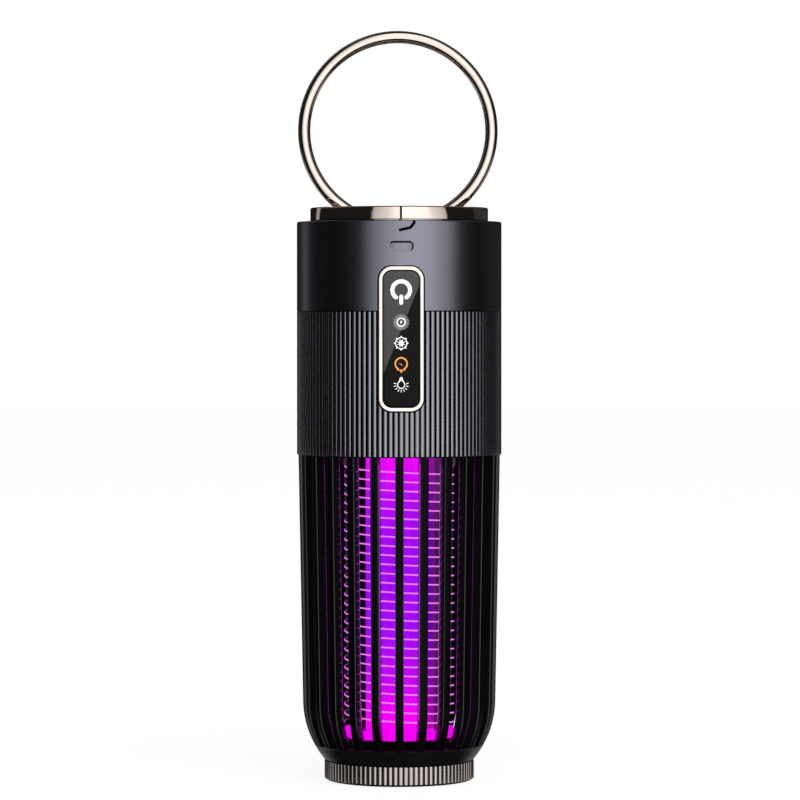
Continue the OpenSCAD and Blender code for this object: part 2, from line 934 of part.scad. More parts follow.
module knurled_base() {
    knurl_z0 = 0.6;
    knurl_z1 = base_h - 0.2;
    root_r = base_r - 0.8;
    core_r = root_r - 0.2;
    rib_share = 0.62;
    lip_in_r = foot_in_r - 0.6;
    color("#a89d96")
        difference() {
            union() {
                rotate_extrude()
                    polygon([
                        [0, base_floor_z],
                        [lip_in_r, base_floor_z],
                        [lip_in_r, base_lip_z],
                        [core_r, base_lip_z],
                        [core_r, base_h - 0.1],
                        [core_r - 0.3, base_h],
                        [neck_r, base_h],
                        [neck_r, neck_z1],
                        [neck_bore_r, neck_z1],
                        [neck_bore_r, base_floor_z + base_floor_t],
                        [0, base_floor_z + base_floor_t]
                    ]);
                translate([0, 0, knurl_z0])
                    linear_extrude(knurl_z1 - knurl_z0)
                        difference() {
                            polygon(ribbed_outline(base_ribs, root_r, base_r, rib_share));
                            circle(root_r - 0.6);
                        }
                around(lug_n, 30 - lug_angle / 2)
                    translate([0, 0, lug_z1 - lug_h])
                        rotate_extrude(angle = lug_angle)
                            translate([neck_r - 0.5, 0])
                                square([lug_r - neck_r + 0.5, lug_h]);
            }
            // room for the seal
            ring(neck_r, neck_r + 2.1, base_h - 0.5, base_h + 0.1);
            // groove for the foot
            ring(foot_in_r - foot_fit, foot_out_r + foot_fit, base_lip_z - 1, base_floor_z + foot_sunk);
        }
}

// Rubber ring that the lantern stands on
module foot_ring() {
    color("#101010")
        ring(foot_in_r, foot_out_r, 0, base_floor_z + foot_sunk);
}

handle_ring();
handle_saddle();
saddle_strap();
saddle_screws();
top_cap();
cap_screws();
upper_shell();
ribbed_grip();
port_plug();
charging_socket();
port_board();
panel_bezel();
panel_lens();
panel_light_guide();
panel_board();
panel_leds();
touch_springs();
inner_frame();
battery_cell();
battery_tabs();
main_board();
step_up_transformer();
high_voltage_capacitor();
reservoir_capacitor();
controller_chip();
wiring();
cage_top_ring();
grid_head();
clamp_screws();
grid_terminals();
grid_posts();
grid_wire_a();
grid_wire_b();
light_tube();
led_board();
lure_leds();
lower_carrier();
carrier_screws();
cage_fins();
cage_bottom_ring();
collection_tray();
base_seal();
knurled_base();
foot_ring();
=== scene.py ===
import bmesh
import bpy
import math
import numpy as np
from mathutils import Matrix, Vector


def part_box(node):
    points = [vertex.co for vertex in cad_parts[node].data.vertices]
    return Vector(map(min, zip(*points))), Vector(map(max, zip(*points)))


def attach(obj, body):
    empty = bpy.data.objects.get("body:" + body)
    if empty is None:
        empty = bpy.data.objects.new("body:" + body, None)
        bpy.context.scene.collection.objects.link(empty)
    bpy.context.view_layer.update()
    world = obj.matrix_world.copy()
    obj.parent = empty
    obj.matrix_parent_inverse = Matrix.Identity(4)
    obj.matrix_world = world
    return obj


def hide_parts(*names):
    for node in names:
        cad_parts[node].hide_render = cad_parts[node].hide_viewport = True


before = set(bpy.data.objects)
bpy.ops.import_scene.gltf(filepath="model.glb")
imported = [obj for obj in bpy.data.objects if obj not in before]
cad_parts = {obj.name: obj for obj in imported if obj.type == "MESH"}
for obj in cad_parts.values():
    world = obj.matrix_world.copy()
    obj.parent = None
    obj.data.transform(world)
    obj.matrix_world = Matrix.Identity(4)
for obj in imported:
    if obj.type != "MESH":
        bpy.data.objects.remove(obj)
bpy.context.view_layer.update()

MM = 0.001
TAU = 2 * math.pi

# ---------------------------------------------------------------- places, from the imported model
BODY_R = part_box("upper_shell")[1].x / MM
COLLAR_Z0 = 174.3      # the one height here that isn't a node's end
BODY_Z1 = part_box("upper_shell")[1].z / MM
GRIP_Z0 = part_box("ribbed_grip")[0].z / MM
GRIP_Z1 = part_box("ribbed_grip")[1].z / MM
cap_lo, cap_hi = (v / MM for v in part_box("top_cap"))
bez_lo, bez_hi = (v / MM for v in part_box("panel_bezel"))
lens_front = (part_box("panel_lens")[0] / MM).y
ring_lo, ring_hi = (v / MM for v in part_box("handle_ring"))
tube_lo, tube_hi = (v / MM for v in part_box("light_tube"))
base_r = (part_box("knurled_base")[1] / MM).x
fins_top = (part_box("cage_fins")[1] / MM).z
PANEL_Z = (bez_lo.z + bez_hi.z) / 2
FRONT_Y = -30      # details on the front lie past this


# ---------------------------------------------------------------- mesh helpers (all in mm)
def add_mesh(name, verts, faces, body, material, sharp):
    """Makes a smooth-shaded piece from points in mm and lets it ride on a body."""
    mesh = bpy.data.meshes.new(name)
    mesh.from_pydata((np.asarray(verts, float) * MM).tolist(), [], [list(map(int, f)) for f in faces])
    mesh.validate()
    bm = bmesh.new()
    bm.from_mesh(mesh)
    bmesh.ops.recalc_face_normals(bm, faces=bm.faces)
    bm.to_mesh(mesh)
    bm.free()
    mesh.shade_smooth()
    mesh.set_sharp_from_angle(angle=math.radians(sharp))
    mesh.materials.append(material)
    o = bpy.data.objects.new(name, mesh)
    bpy.context.scene.collection.objects.link(o)
    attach(o, body)
    return o


class Build:
    """Collects several grids into one mesh."""

    def __init__(self):
        self.v, self.f, self.n = [], [], 0

    def grid(self, p, wrap_u, wrap_v, cap_v=False):
        """Adds the grid p, of shape (nu, nv, 3).

        wrap joins last to first; cap_v closes the first and last rows of u with a face."""
        p = np.asarray(p, float)
        nu, nv = p.shape[:2]
        base = self.n
        self.v.append(p.reshape(-1, 3))
        self.n += nu * nv
        for i in range(nu if wrap_u else nu - 1):
            i2 = (i + 1) % nu
            for j in range(nv if wrap_v else nv - 1):
                j2 = (j + 1) % nv
                row, row2 = base + i * nv, base + i2 * nv
                self.f.append((row + j, row2 + j, row2 + j2, row + j2))
        if cap_v:
            self.f.append(tuple(base + j for j in range(nv))[::-1])
            self.f.append(tuple(base + (nu - 1) * nv + j for j in range(nv)))
        return self

    def poly(self, pts):
        """Adds one flat face."""
        base = self.n
        pts = np.asarray(pts, float)
        self.v.append(pts)
        self.n += len(pts)
        self.f.append(tuple(range(base, base + len(pts))))
        return self

    def make(self, name, body, material, sharp=40):
        """Makes the piece; edges steeper than sharp, in degrees, stay crisp."""
        return add_mesh(name, np.concatenate(self.v), self.f, body, material, sharp)


def rounded(profile, radii, steps):
    """Closed or open polygon with corner i rounded to radii[i] (0 leaves it sharp)."""
    out = []
    n = len(profile)
    for i, (p, r) in enumerate(zip(profile, radii)):
        p = np.array(p, float)
        if r == 0:
            out.append(p)
            continue
        a = np.array(profile[(i - 1) % n], float) - p
        b = np.array(profile[(i + 1) % n], float) - p
        a /= np.linalg.norm(a)
        b /= np.linalg.norm(b)
        half = math.acos(max(-1, min(1, float(a @ b)))) / 2
        t = r / math.tan(half)
        c = p + (a + b) / np.linalg.norm(a + b) * r / math.sin(half)
        v0, v1 = p + a * t - c, p + b * t - c
        a0, a1 = math.atan2(v0[1], v0[0]), math.atan2(v1[1], v1[0])
        d = (a1 - a0 + math.pi) % TAU - math.pi
        for k in range(steps + 1):
            w = a0 + d * k / steps
            out.append(c + r * np.array([math.cos(w), math.sin(w)]))
    return np.array(out)


def lathe(profile, angles, wobble=None):
    """Grid of a profile (r, z) turned through the angles. wobble(angle, r, z) returns the new r."""
    prof = np.asarray(profile, float)
    a = np.asarray(angles, float)
    r = np.repeat(prof[None, :, 0], len(a), 0)
    z = np.repeat(prof[None, :, 1], len(a), 0)
    if wobble is not None:
        r = wobble(a[:, None] + 0 * r, r, z)
    return np.stack([r * np.cos(a)[:, None], r * np.sin(a)[:, None], z], -1)


def tube_along(points, normals, section):
    """Sweeps a section (list of (across, out)) along points; normals is the 'out' direction at each point."""
    p = np.asarray(points, float)
    t = np.gradient(p, axis=0)
    t /= np.linalg.norm(t, axis=1)[:, None]
    n = np.asarray(normals, float)
    n = n - (n * t).sum(1)[:, None] * t
    n /= np.linalg.norm(n, axis=1)[:, None]
    b = np.cross(t, n)
    s = np.asarray(section, float)
    return p[:, None, :] + s[None, :, 0, None] * b[:, None, :] + s[None, :, 1, None] * n[:, None, :]


def circle(r, n):
    """n points round a circle."""
    return [(r * math.cos(TAU * k / n), r * math.sin(TAU * k / n)) for k in range(n)]


# ---------------------------------------------------------------- materials
def nodes_of(m):
    """The material's tree, its nodes and links, and its main shader."""
    m.use_nodes = True
    nt = m.node_tree
    return nt, nt.nodes, nt.links, nt.nodes["Principled BSDF"]


def math_node(nt, op, a, b, c=None):
    """A Math node whose inputs are numbers or sockets."""
    n = nt.nodes.new("ShaderNodeMath")
    n.operation = op
    for i, v in enumerate((a, b, c)):
        if v is None:
            continue
        if isinstance(v, (int, float)):
            n.inputs[i].default_value = v
        else:
            nt.links.new(v, n.inputs[i])
    return n.outputs[0]


def ramp_node(nt, fac, stops):
    """A ColorRamp with (place, colour) stops."""
    n = nt.nodes.new("ShaderNodeValToRGB")
    e = n.color_ramp.elements
    while len(e) > 1:
        e.remove(e[-1])
    e[0].position, e[0].color = stops[0][0], (*stops[0][1], 1)
    for pos, col in stops[1:]:
        s = e.new(pos)
        s.color = (*col, 1)
    nt.links.new(fac, n.inputs[0])
    return n.outputs[0]


def grey(v):
    """A neutral colour."""
    return (v, v, v)


def noise_node(nt, vector, scale, detail, stretch=None):
    """Noise, drawn out along an axis where its stretch is under 1."""
    n = nt.nodes.new("ShaderNodeTexNoise")
    n.inputs["Scale"].default_value = scale
    n.inputs["Detail"].default_value = detail
    if stretch is not None:
        m = nt.nodes.new("ShaderNodeMapping")
        m.inputs["Scale"].default_value = stretch
        nt.links.new(vector, m.inputs["Vector"])
        vector = m.outputs[0]
    nt.links.new(vector, n.inputs["Vector"])
    return n.outputs[0]


def object_coords(nt):
    """Object coordinates, in metres."""
    return nt.nodes.new("ShaderNodeTexCoord").outputs["Object"]


def remap(nt, value, lo, hi, a, b):
    """Takes a..b to lo..hi, clamped."""
    n = nt.nodes.new("ShaderNodeMapRange")
    n.inputs[1].default_value, n.inputs[2].default_value = a, b
    n.inputs[3].default_value, n.inputs[4].default_value = lo, hi
    nt.links.new(value, n.inputs[0])
    return n.outputs[0]


FINE_DETAIL = 3.0
DRIFT_SCALE, DRIFT_DETAIL = 25, 2.0
FINE_SHARE, DRIFT_SHARE = 0.6, 0.4      # of each noise in the roughness


def finish_material(name, colour, metallic, rough, scale, bump, rough_amp=0.05, colour_amp=0.06,
                    bump_distance=0.00005, stretch=None, specular=0.5):
    """A moulded, turned or plated surface: fine grain in the bump and roughness, slow drift in the colour."""
    m = bpy.data.materials.new(name)
    nt, nodes, links, bsdf = nodes_of(m)
    co = object_coords(nt)
    fine = noise_node(nt, co, scale, FINE_DETAIL, stretch)
    slow = noise_node(nt, co, DRIFT_SCALE, DRIFT_DETAIL)
    lo = tuple(c * (1 - colour_amp) for c in colour)
    hi = tuple(min(1, c * (1 + colour_amp)) for c in colour)
    links.new(ramp_node(nt, slow, [(0.3, lo), (0.7, hi)]), bsdf.inputs["Base Color"])
    drift = math_node(nt, "MULTIPLY", slow, DRIFT_SHARE)
    links.new(remap(nt, math_node(nt, "MULTIPLY_ADD", fine, FINE_SHARE, drift),
                    max(0, rough - rough_amp), rough + rough_amp, 0.3, 0.7), bsdf.inputs["Roughness"])
    b = nodes.new("ShaderNodeBump")
    b.inputs["Strength"].default_value = bump
    b.inputs["Distance"].default_value = bump_distance
    links.new(fine, b.inputs["Height"])
    links.new(b.outputs[0], bsdf.inputs["Normal"])
    bsdf.inputs["Metallic"].default_value = metallic
    bsdf.inputs["Specular IOR Level"].default_value = specular
    return m


WARM = (0.80, 0.69, 0.62)
M_metal = finish_material("warm_polished_metal", WARM, 1.0, 0.05, rough_amp=0.012, scale=900, bump=0.0005,
                          stretch=(1, 1, 0.15))
M_knurl = finish_material("warm_knurled_metal", (0.46, 0.415, 0.39), 1.0, 0.21, rough_amp=0.03, scale=2600,
                          bump=0.015)
M_bezel = finish_material("warm_bezel_metal", (0.86, 0.77, 0.70), 1.0, 0.12, rough_amp=0.03, scale=1500,
                          bump=0.01)
M_zinc = finish_material("zinc_plate", (0.62, 0.60, 0.57), 1.0, 0.30, scale=1200, bump=0.04)
M_screw = finish_material("screw_steel", (0.60, 0.59, 0.57), 1.0, 0.25, scale=1500, bump=0.03)
M_satin = finish_material("satin_metallic_paint", (0.230, 0.232, 0.272), 1.0, 0.30, rough_amp=0.015,
                          scale=5200, colour_amp=0.03, bump=0.02, bump_distance=0.00001)
M_grip = finish_material("satin_grip_paint", (0.285, 0.287, 0.318), 1.0, 0.25, rough_amp=0.015, scale=5200,
                         colour_amp=0.03, bump=0.008, bump_distance=0.00001)
M_plug = finish_material("plug_soft_plastic", (0.20, 0.202, 0.235), 1.0, 0.32, scale=2600, bump=0.03)
M_cage = finish_material("gloss_black_cage", (0.008, 0.007, 0.009), 0.0, 0.07, rough_amp=0.02, scale=700,
                         colour_amp=0.2, bump=0.01)
M_cage_ring = finish_material("soft_gloss_ring", (0.014, 0.014, 0.015), 0.0, 0.16, rough_amp=0.04, scale=1500,
                              bump=0.01, specular=0.3)
M_cage_face = finish_material("matt_cage_face", (0.004, 0.0035, 0.004), 0.0, 0.28, rough_amp=0.04, scale=1500,
                              colour_amp=0.2, bump=0.03, specular=0.05)
M_black = finish_material("moulded_black", (0.018, 0.018, 0.020), 0.0, 0.38, scale=1500, bump=0.08)
M_rubber = finish_material("foot_rubber", (0.016, 0.016, 0.016), 0.0, 0.62, scale=1800, bump=0.15)
M_wire = finish_material("grid_wire_steel", (0.10, 0.09, 0.10), 0.0, 0.35, scale=2500, bump=0.02,
                         specular=0.6)
M_terminal = finish_material("terminal_steel", (0.16, 0.15, 0.15), 1.0, 0.35, scale=1500, bump=0.03)


def light_outer_side(m, colour, strength):
    """Paints the lure light on thin wires as a pink glow, a painted sheen, on the side that faces out."""
    nt, nodes, links, bsdf = nodes_of(m)
    flat = nodes.new("ShaderNodeVectorMath")
    flat.operation = "MULTIPLY"
    flat.inputs[1].default_value = (1, 1, 0)
    links.new(object_coords(nt), flat.inputs[0])
    radial = nodes.new("ShaderNodeVectorMath")
    radial.operation = "NORMALIZE"
    links.new(flat.outputs[0], radial.inputs[0])
    dot = nodes.new("ShaderNodeVectorMath")
    dot.operation = "DOT_PRODUCT"
    links.new(radial.outputs[0], dot.inputs[0])
    links.new(nodes.new("ShaderNodeNewGeometry").outputs["Normal"], dot.inputs[1])
    bsdf.inputs["Emission Color"].default_value = (*colour, 1)
    links.new(remap(nt, dot.outputs["Value"], 0, strength, -0.1, 0.5), bsdf.inputs["Emission Strength"])


# the wires' outer sides get a painted glow of the lure light
light_outer_side(M_wire, (1.0, 0.22, 1.0), 0.88)
# a flat black for the sheets that stand for the shadow gaps round the bezel: painted shade
M_shadow_gap = finish_material("shadow_gap_black", (0.006, 0.006, 0.007), 0.0, 0.55, scale=1800, bump=0.05,
                           specular=0.15)
M_tray = finish_material("tray_plastic", (0.014, 0.013, 0.015), 0.0, 0.45, scale=1500, bump=0.06,
                         specular=0.2)
M_board = finish_material("circuit_board_green", (0.02, 0.12, 0.055), 0.0, 0.35, scale=900, colour_amp=0.3,
                          bump=0.05)
M_white = finish_material("white_plastic", (0.78, 0.77, 0.75), 0.0, 0.35, scale=1200, bump=0.03)
M_brass = finish_material("brass", (0.78, 0.57, 0.28), 1.0, 0.28, scale=1300, bump=0.03)


GLARE_RISE, GLARE_RUN = 29.8, 12.0      # slope of the edge of the painted sheen across the panel
GLARE_X, GLARE_Z = -6.1, 18.5           # a place on that edge, from the middle of the panel
GLARE_SOFT = 0.0035


def lens_material():
    """Black gloss with a painted reflection: a paler upper left part, parted by a slanted line, dimmer lower
    down.
    """
    m = finish_material("gloss_panel_lens", (0.01, 0.01, 0.01), 0.0, 0.07, rough_amp=0.02, scale=600,
                        bump=0.004, specular=0.10)
    nt, nodes, links, bsdf = nodes_of(m)
    sep = nodes.new("ShaderNodeSeparateXYZ")
    links.new(object_coords(nt), sep.inputs[0])
    up = math_node(nt, "MULTIPLY", sep.outputs[2], GLARE_RUN)
    a = math_node(nt, "MULTIPLY_ADD", sep.outputs[0], -GLARE_RISE, up)
    d = math_node(nt, "SUBTRACT", a, (GLARE_X * GLARE_RISE + (PANEL_Z + GLARE_Z) * GLARE_RUN) * MM)
    # painted reflection: where the paler part lies, and how it dims lower down
    mask = remap(nt, d, 0, 1, -GLARE_SOFT, GLARE_SOFT)
    fall = remap(nt, sep.outputs[2], 0.80, 1.0, (PANEL_Z - 20) * MM, (PANEL_Z + 25) * MM)
    stops = [(0.0, (0.0035, 0.0033, 0.0032)), (1.0, (0.155, 0.150, 0.146))]
    links.new(ramp_node(nt, math_node(nt, "MULTIPLY", mask, fall), stops), bsdf.inputs["Base Color"])
    return m


M_lens = lens_material()


STREAK_SCALE, STREAK_STRETCH = 420, (1, 1, 0.06)


def glow_material(name, stops, z0, z1, strength, base=(0.02, 0.002, 0.02), streak=0.10, fade=None):
    """A glowing surface whose colour drifts along the height, with faint upright streaks of the light guide:
    the lamp's own tube, or painted lure light on a part near it.

    fade = (near, far, x0, x1) scales its light from near to far between two places along X, a painted shade
    on one side."""
    m = bpy.data.materials.new(name)
    nt, nodes, links, bsdf = nodes_of(m)
    co = object_coords(nt)
    sep = nodes.new("ShaderNodeSeparateXYZ")
    links.new(co, sep.inputs[0])
    t = remap(nt, sep.outputs[2], 0, 1, z0 * MM, z1 * MM)
    wob = noise_node(nt, co, STREAK_SCALE, FINE_DETAIL, STREAK_STRETCH)
    t = math_node(nt, "ADD", t, math_node(nt, "MULTIPLY", math_node(nt, "SUBTRACT", wob, 0.5), 0.10))
    links.new(ramp_node(nt, t, stops), bsdf.inputs["Emission Color"])
    bsdf.inputs["Base Color"].default_value = (*base, 1)
    links.new(remap(nt, wob, strength * (1 - streak), strength * (1 + streak), 0.35, 0.65),
              bsdf.inputs["Emission Strength"])
    bsdf.inputs["Roughness"].default_value = 0.35
    bsdf.inputs["Specular IOR Level"].default_value = 0.0
    if fade is not None:
        side = remap(nt, sep.outputs[0], *fade)
        links.new(math_node(nt, "MULTIPLY", bsdf.inputs["Emission Strength"].links[0].from_socket, side),
                  bsdf.inputs["Emission Strength"])
    return m


def shade_underside(m):
    """Takes the painted glow off faces that look down, a painted shade."""
    nt, nodes, links, bsdf = nodes_of(m)
    facing = nodes.new("ShaderNodeSeparateXYZ")
    links.new(nodes.new("ShaderNodeNewGeometry").outputs["Normal"], facing.inputs[0])
    glow = bsdf.inputs["Emission Strength"].links[0].from_socket
    share = remap(nt, facing.outputs[2], 0.0, 1.0, -0.6, -0.3)
    links.new(math_node(nt, "MULTIPLY", glow, share), bsdf.inputs["Emission Strength"])


# the tube is the lamp; past x 9.9 to 10.9 mm on its +X side its glow drops to 0.4, a painted shade
M_tube = glow_material("violet_lit_tube", [
    (0.00, (1.00, 0.0, 1.00)), (0.06, (0.90, 0.0, 0.98)), (0.16, (0.56, 0.002, 0.90)),
    (0.35, (0.34, 0.003, 0.90)), (0.65, (0.33, 0.003, 0.88)), (0.85, (0.46, 0.003, 0.90)),
    (0.94, (0.74, 0.003, 0.93)), (1.00, (0.90, 0.002, 0.96)),
], tube_lo.z, tube_hi.z, 1.02, fade=(1.0, 0.4, 9.9 * MM, 10.9 * MM))
# the posts are no lamp: their violet glow is painted lure light, only on their +X side
M_post = glow_material("violet_lit_post", [(0.0, (0.9, 0.12, 1.0)), (1.0, (0.9, 0.15, 1.0))], 19.5, 122,
                       0.085, base=(0.02, 0.006, 0.02), streak=0.45, fade=(0.0, 1.0, -6 * MM, 6 * MM))
# the carrier is no lamp: its glow is painted lure light, with painted shade on faces that look down
M_lit = glow_material("lit_carrier", [(0.0, (1.0, 0.0, 0.95)), (1.0, (0.95, 0.0, 1.0))], 16.3, 19.5, 1.0)
shade_underside(M_lit)


def lit_icon(name, colour, strength):
    """Printed symbol, lit from behind."""
    m = finish_material(name, colour, 0.0, 0.4, scale=1500, bump=0.01, colour_amp=0.02)
    bsdf = nodes_of(m)[3]
    bsdf.inputs["Emission Color"].default_value = (*colour, 1)
    bsdf.inputs["Emission Strength"].default_value = strength
    return m


M_icon = lit_icon("lit_white_print", (0.92, 0.92, 0.92), 0.75)
M_icon_dim = lit_icon("lit_grey_print", (0.70, 0.70, 0.70), 0.45)
M_icon_warm = lit_icon("lit_orange_print", (0.95, 0.38, 0.08), 0.65)


def darken(o, material, weight, name, colour):
    """Gives o a copy of the material that goes to a dark colour where the weight is 1: painted shade, or a
    painted mark.
    """
    values = np.asarray(weight, np.float32)
    o.data.attributes.new("groove", "FLOAT", "POINT").data.foreach_set("value", values)
    m = material.copy()
    m.name = name
    o.data.materials[0] = m
    _, nodes, links, bsdf = nodes_of(m)
    att = nodes.new("ShaderNodeAttribute")
    att.attribute_name = "groove"
    mix = nodes.new("ShaderNodeMix")
    mix.data_type = "RGBA"
    links.new(att.outputs["Fac"], mix.inputs[0])
    links.new(bsdf.inputs["Base Color"].links[0].from_socket, mix.inputs[6])
    mix.inputs[7].default_value = (*colour, 1)
    links.new(mix.outputs[2], bsdf.inputs["Base Color"])


# ---------------------------------------------------------------- CAD nodes that keep their mesh
CAD_MATERIALS = {
    M_zinc: ["handle_saddle", "saddle_strap"],
    M_screw: ["saddle_screws", "cap_screws", "clamp_screws", "carrier_screws", "charging_socket",
              "battery_tabs"],
    M_metal: ["top_cap", "handle_ring"],
    M_bezel: ["panel_bezel"],
    M_knurl: ["knurled_base"],
    M_satin: ["upper_shell"],
    M_grip: ["ribbed_grip"],
    M_plug: ["port_plug"],
    M_lens: ["panel_lens"],
    M_board: ["port_board", "panel_board", "main_board"],
    M_white: ["led_board", "panel_light_guide", "panel_leds", "lure_leds"],
    M_black: ["inner_frame", "grid_head", "cage_top_ring", "controller_chip", "high_voltage_capacitor",
              "reservoir_capacitor", "battery_cell", "step_up_transformer", "wiring"],
    M_cage: ["cage_fins"],
    M_cage_ring: ["cage_bottom_ring"],
    M_brass: ["touch_springs"],
    M_terminal: ["grid_terminals"],
    M_post: ["grid_posts"],
    M_wire: ["grid_wire_a", "grid_wire_b"],
    M_tube: ["light_tube"],
    M_lit: ["lower_carrier"],
    M_tray: ["collection_tray"],
    M_rubber: ["base_seal", "foot_ring"],
}
for material, names in CAD_MATERIALS.items():
    for n in names:
        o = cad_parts[n]
        o.data.materials.clear()
        o.data.materials.append(material)

WELD_GAP, EDGE_WIDTH = 0.000005, 0.00012
for n in ("handle_saddle", "saddle_strap", "saddle_screws", "cap_screws", "cage_bottom_ring"):
    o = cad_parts[n]
    w = o.modifiers.new("weld", "WELD")
    w.merge_threshold = WELD_GAP
    b = o.modifiers.new("edge", "BEVEL")
    b.width, b.segments, b.limit_method, b.angle_limit = EDGE_WIDTH, 2, "ANGLE", math.radians(40)

# ---------------------------------------------------------------- ring handle
ring_R = (ring_hi.x - ring_lo.x) / 2
rod_r = (ring_hi.y - ring_lo.y) / 2
centre_x, centre_z = (ring_lo.x + ring_hi.x) / 2, (ring_lo.z + ring_hi.z) / 2
RING_STEPS, ROD_STEPS = 288, 40
a = np.arange(RING_STEPS) * TAU / RING_STEPS
c = np.arange(ROD_STEPS) * TAU / ROD_STEPS
rr = (ring_R - rod_r) + rod_r * np.cos(c)[None, :]
ring = np.stack([centre_x + rr * np.cos(a)[:, None], np.repeat(rod_r * np.sin(c)[None, :], RING_STEPS, 0),
                 centre_z + rr * np.sin(a)[:, None]], -1)
o = Build().grid(ring, True, True).make("ring_rod", "handle", M_metal)
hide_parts("handle_ring")

# ---------------------------------------------------------------- top cap, with the seam down its front
cap_r = cap_hi.x
cap_z0, cap_z1 = BODY_Z1 + 0.3, cap_hi.z
floor_z, shelf_z = cap_lo.z + 1.2, cap_z0 + 1.2
SKIRT_R, RIM_R, WELL_R = 29.7, 30.2, 28.5
prof = [(0.001, cap_lo.z), (SKIRT_R, cap_lo.z), (SKIRT_R, cap_z0), (cap_r, cap_z0), (cap_r, cap_z0 + 0.22),
        (cap_r, cap_z0 + 0.3), (cap_r, cap_z1 - 0.45), (cap_r - 0.05, cap_z1 - 0.36), (cap_r - 0.38, cap_z1),
        (RIM_R, cap_z1), (RIM_R, shelf_z), (WELL_R, shelf_z), (WELL_R, floor_z), (0.001, floor_z)]
prof = rounded(prof, [0, 0.3, 0, 0.1, 0, 0, 0, 0, 0, 0.45, 0.25, 0.3, 0.6, 0], 5)
seam = -math.pi / 2
# extra edges across the seam
near = np.array([-0.9, -0.6, -0.44, -0.39, -0.33, -0.2, 0.2, 0.33, 0.39, 0.44, 0.6, 0.9]) / cap_r
angles = np.sort(np.concatenate([np.linspace(0.03, TAU - 0.03, 240) + seam, seam + TAU + near[near < 0],
                                 seam + near[near > 0], [seam]]))
SEAM_HALF, SEAM_WALL = 0.39, 0.05
SEAM_DEPTH = 0.6    # stops just short of the screw behind it
SEAM_Z0 = cap_z0 - 0.1


def seam_cut(ang, r, z):
    """Cuts the upright slot down the front of the cap's wall."""
    d = np.abs((ang - seam + math.pi) % TAU - math.pi) * cap_r
    cut = np.clip((SEAM_HALF - d) / SEAM_WALL, 0, 1) * SEAM_DEPTH
    return np.where((r > 31.5) & (z > SEAM_Z0), r - cut, r)


cap = lathe(prof, angles, wobble=seam_cut)
o = Build().grid(cap, True, True).make("cap_shell", "housing", M_metal, sharp=50)
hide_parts("top_cap")
co = np.array([v.co for v in o.data.vertices]) / MM
away = np.hypot(co[:, 0], co[:, 1])
in_wall = (co[:, 2] > SEAM_Z0) & (away < cap_r - 0.4) & (away > 32)
# painted shade: the seam's slot and the cap's lower edge, over the gap to the collar, go dark
in_seam = (np.abs(co[:, 0]) < 0.37) & (co[:, 1] < FRONT_Y) & in_wall
lower_edge = (away > 30) & (co[:, 2] < cap_z0 + 0.25)
darken(o, M_metal, in_seam | lower_edge, "metal_painted_seam_shade", (0.012, 0.010, 0.008))

# ---------------------------------------------------------------- collar, with its port and hook mark
port_lo, port_hi = (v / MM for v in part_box("port_plug"))
port_x, port_z = (port_lo.x + port_hi.x) / 2, (port_lo.z + port_hi.z) / 2
PORT_W, PORT_H, PORT_CORNER = 9.0, 3.7, 1.35
DISH_INSET, DISH_EDGE, DISH_DEPTH = 0.5, 0.95, 0.42
HOOK = np.array([(-0.4, 203.7), (3.3, 204.55), (4.75, 206.3), (4.45, 208.5)])
HOOK_HALF, HOOK_EDGE, HOOK_DEPTH = 0.38, 0.22, 0.7
SKIN_R = 36        # the outer wall lies past this


def segment_distance(x, z, a, b):
    """Distance to the stretch from a to b."""
    ab = b - a
    t = np.clip(((x - a[0]) * ab[0] + (z - a[1]) * ab[1]) / (ab @ ab), 0, 1)
    return np.hypot(x - a[0] - t * ab[0], z - a[1] - t * ab[1])


def rect_distance(x, z, cx, cz, w, h, r):
    """Signed distance to a rounded rectangle, less than 0 inside."""
    qx, qz = np.abs(x - cx) - w / 2 + r, np.abs(z - cz) - h / 2 + r
    return np.hypot(np.maximum(qx, 0), np.maximum(qz, 0)) + np.minimum(np.maximum(qx, qz), 0) - r


def soft(d, width):
    """0 outside to 1 inside across a rounded edge."""
    t = np.clip(0.5 - d / width, 0, 1)
    return t * t * (3 - 2 * t)


def hook_distance(x, z):
    """Distance to the hook mark's middle line."""
    return np.min([segment_distance(x, z, HOOK[i], HOOK[i + 1]) for i in range(len(HOOK) - 1)], 0)


def collar_cut(ang, r, z):
    """Dishes the wall at the port and cuts the hook mark."""
    x, y = r * np.cos(ang), r * np.sin(ang)
    front = (y < FRONT_Y) & (r > SKIN_R)
    outline = rect_distance(x, z, port_x, port_z, PORT_W - DISH_INSET, PORT_H - DISH_INSET, PORT_CORNER)
    port = soft(outline, DISH_EDGE) * DISH_DEPTH
    hook = soft(hook_distance(x, z) - HOOK_HALF, HOOK_EDGE) * HOOK_DEPTH
    return np.where(front, r - np.maximum(port, hook), r)


half_front = 8.0 / BODY_R
dense = np.linspace(-half_front, half_front, 150) - math.pi / 2
coarse = np.linspace(half_front, TAU - half_front, 230)[1:-1] - math.pi / 2
angles = np.concatenate([dense, coarse])
z_rows = np.concatenate([[COLLAR_Z0 + 0.15, COLLAR_Z0 + 0.32], np.linspace(COLLAR_Z0 + 0.5, 195.0, 24),
                         np.linspace(195.1, 200.6, 56), np.linspace(200.8, 203.0, 5),
                         np.linspace(203.1, 206.8, 38)])
wall = np.stack([np.full(len(z_rows), BODY_R), z_rows], -1)
SLEEVE_R, LINER_R, LINER_Z0, TOP_EDGE = 35.8, 33.8, 129.0, 0.6
foot = [(SLEEVE_R, LINER_Z0), (SLEEVE_R, GRIP_Z1), (BODY_R - 0.2, GRIP_Z1),
        (BODY_R - 0.06, COLLAR_Z0 + 0.04)]
edge = [(BODY_R - TOP_EDGE + TOP_EDGE * math.cos(t), BODY_Z1 - TOP_EDGE + TOP_EDGE * math.sin(t))
        for t in np.linspace(0.15, math.pi / 2, 8)]
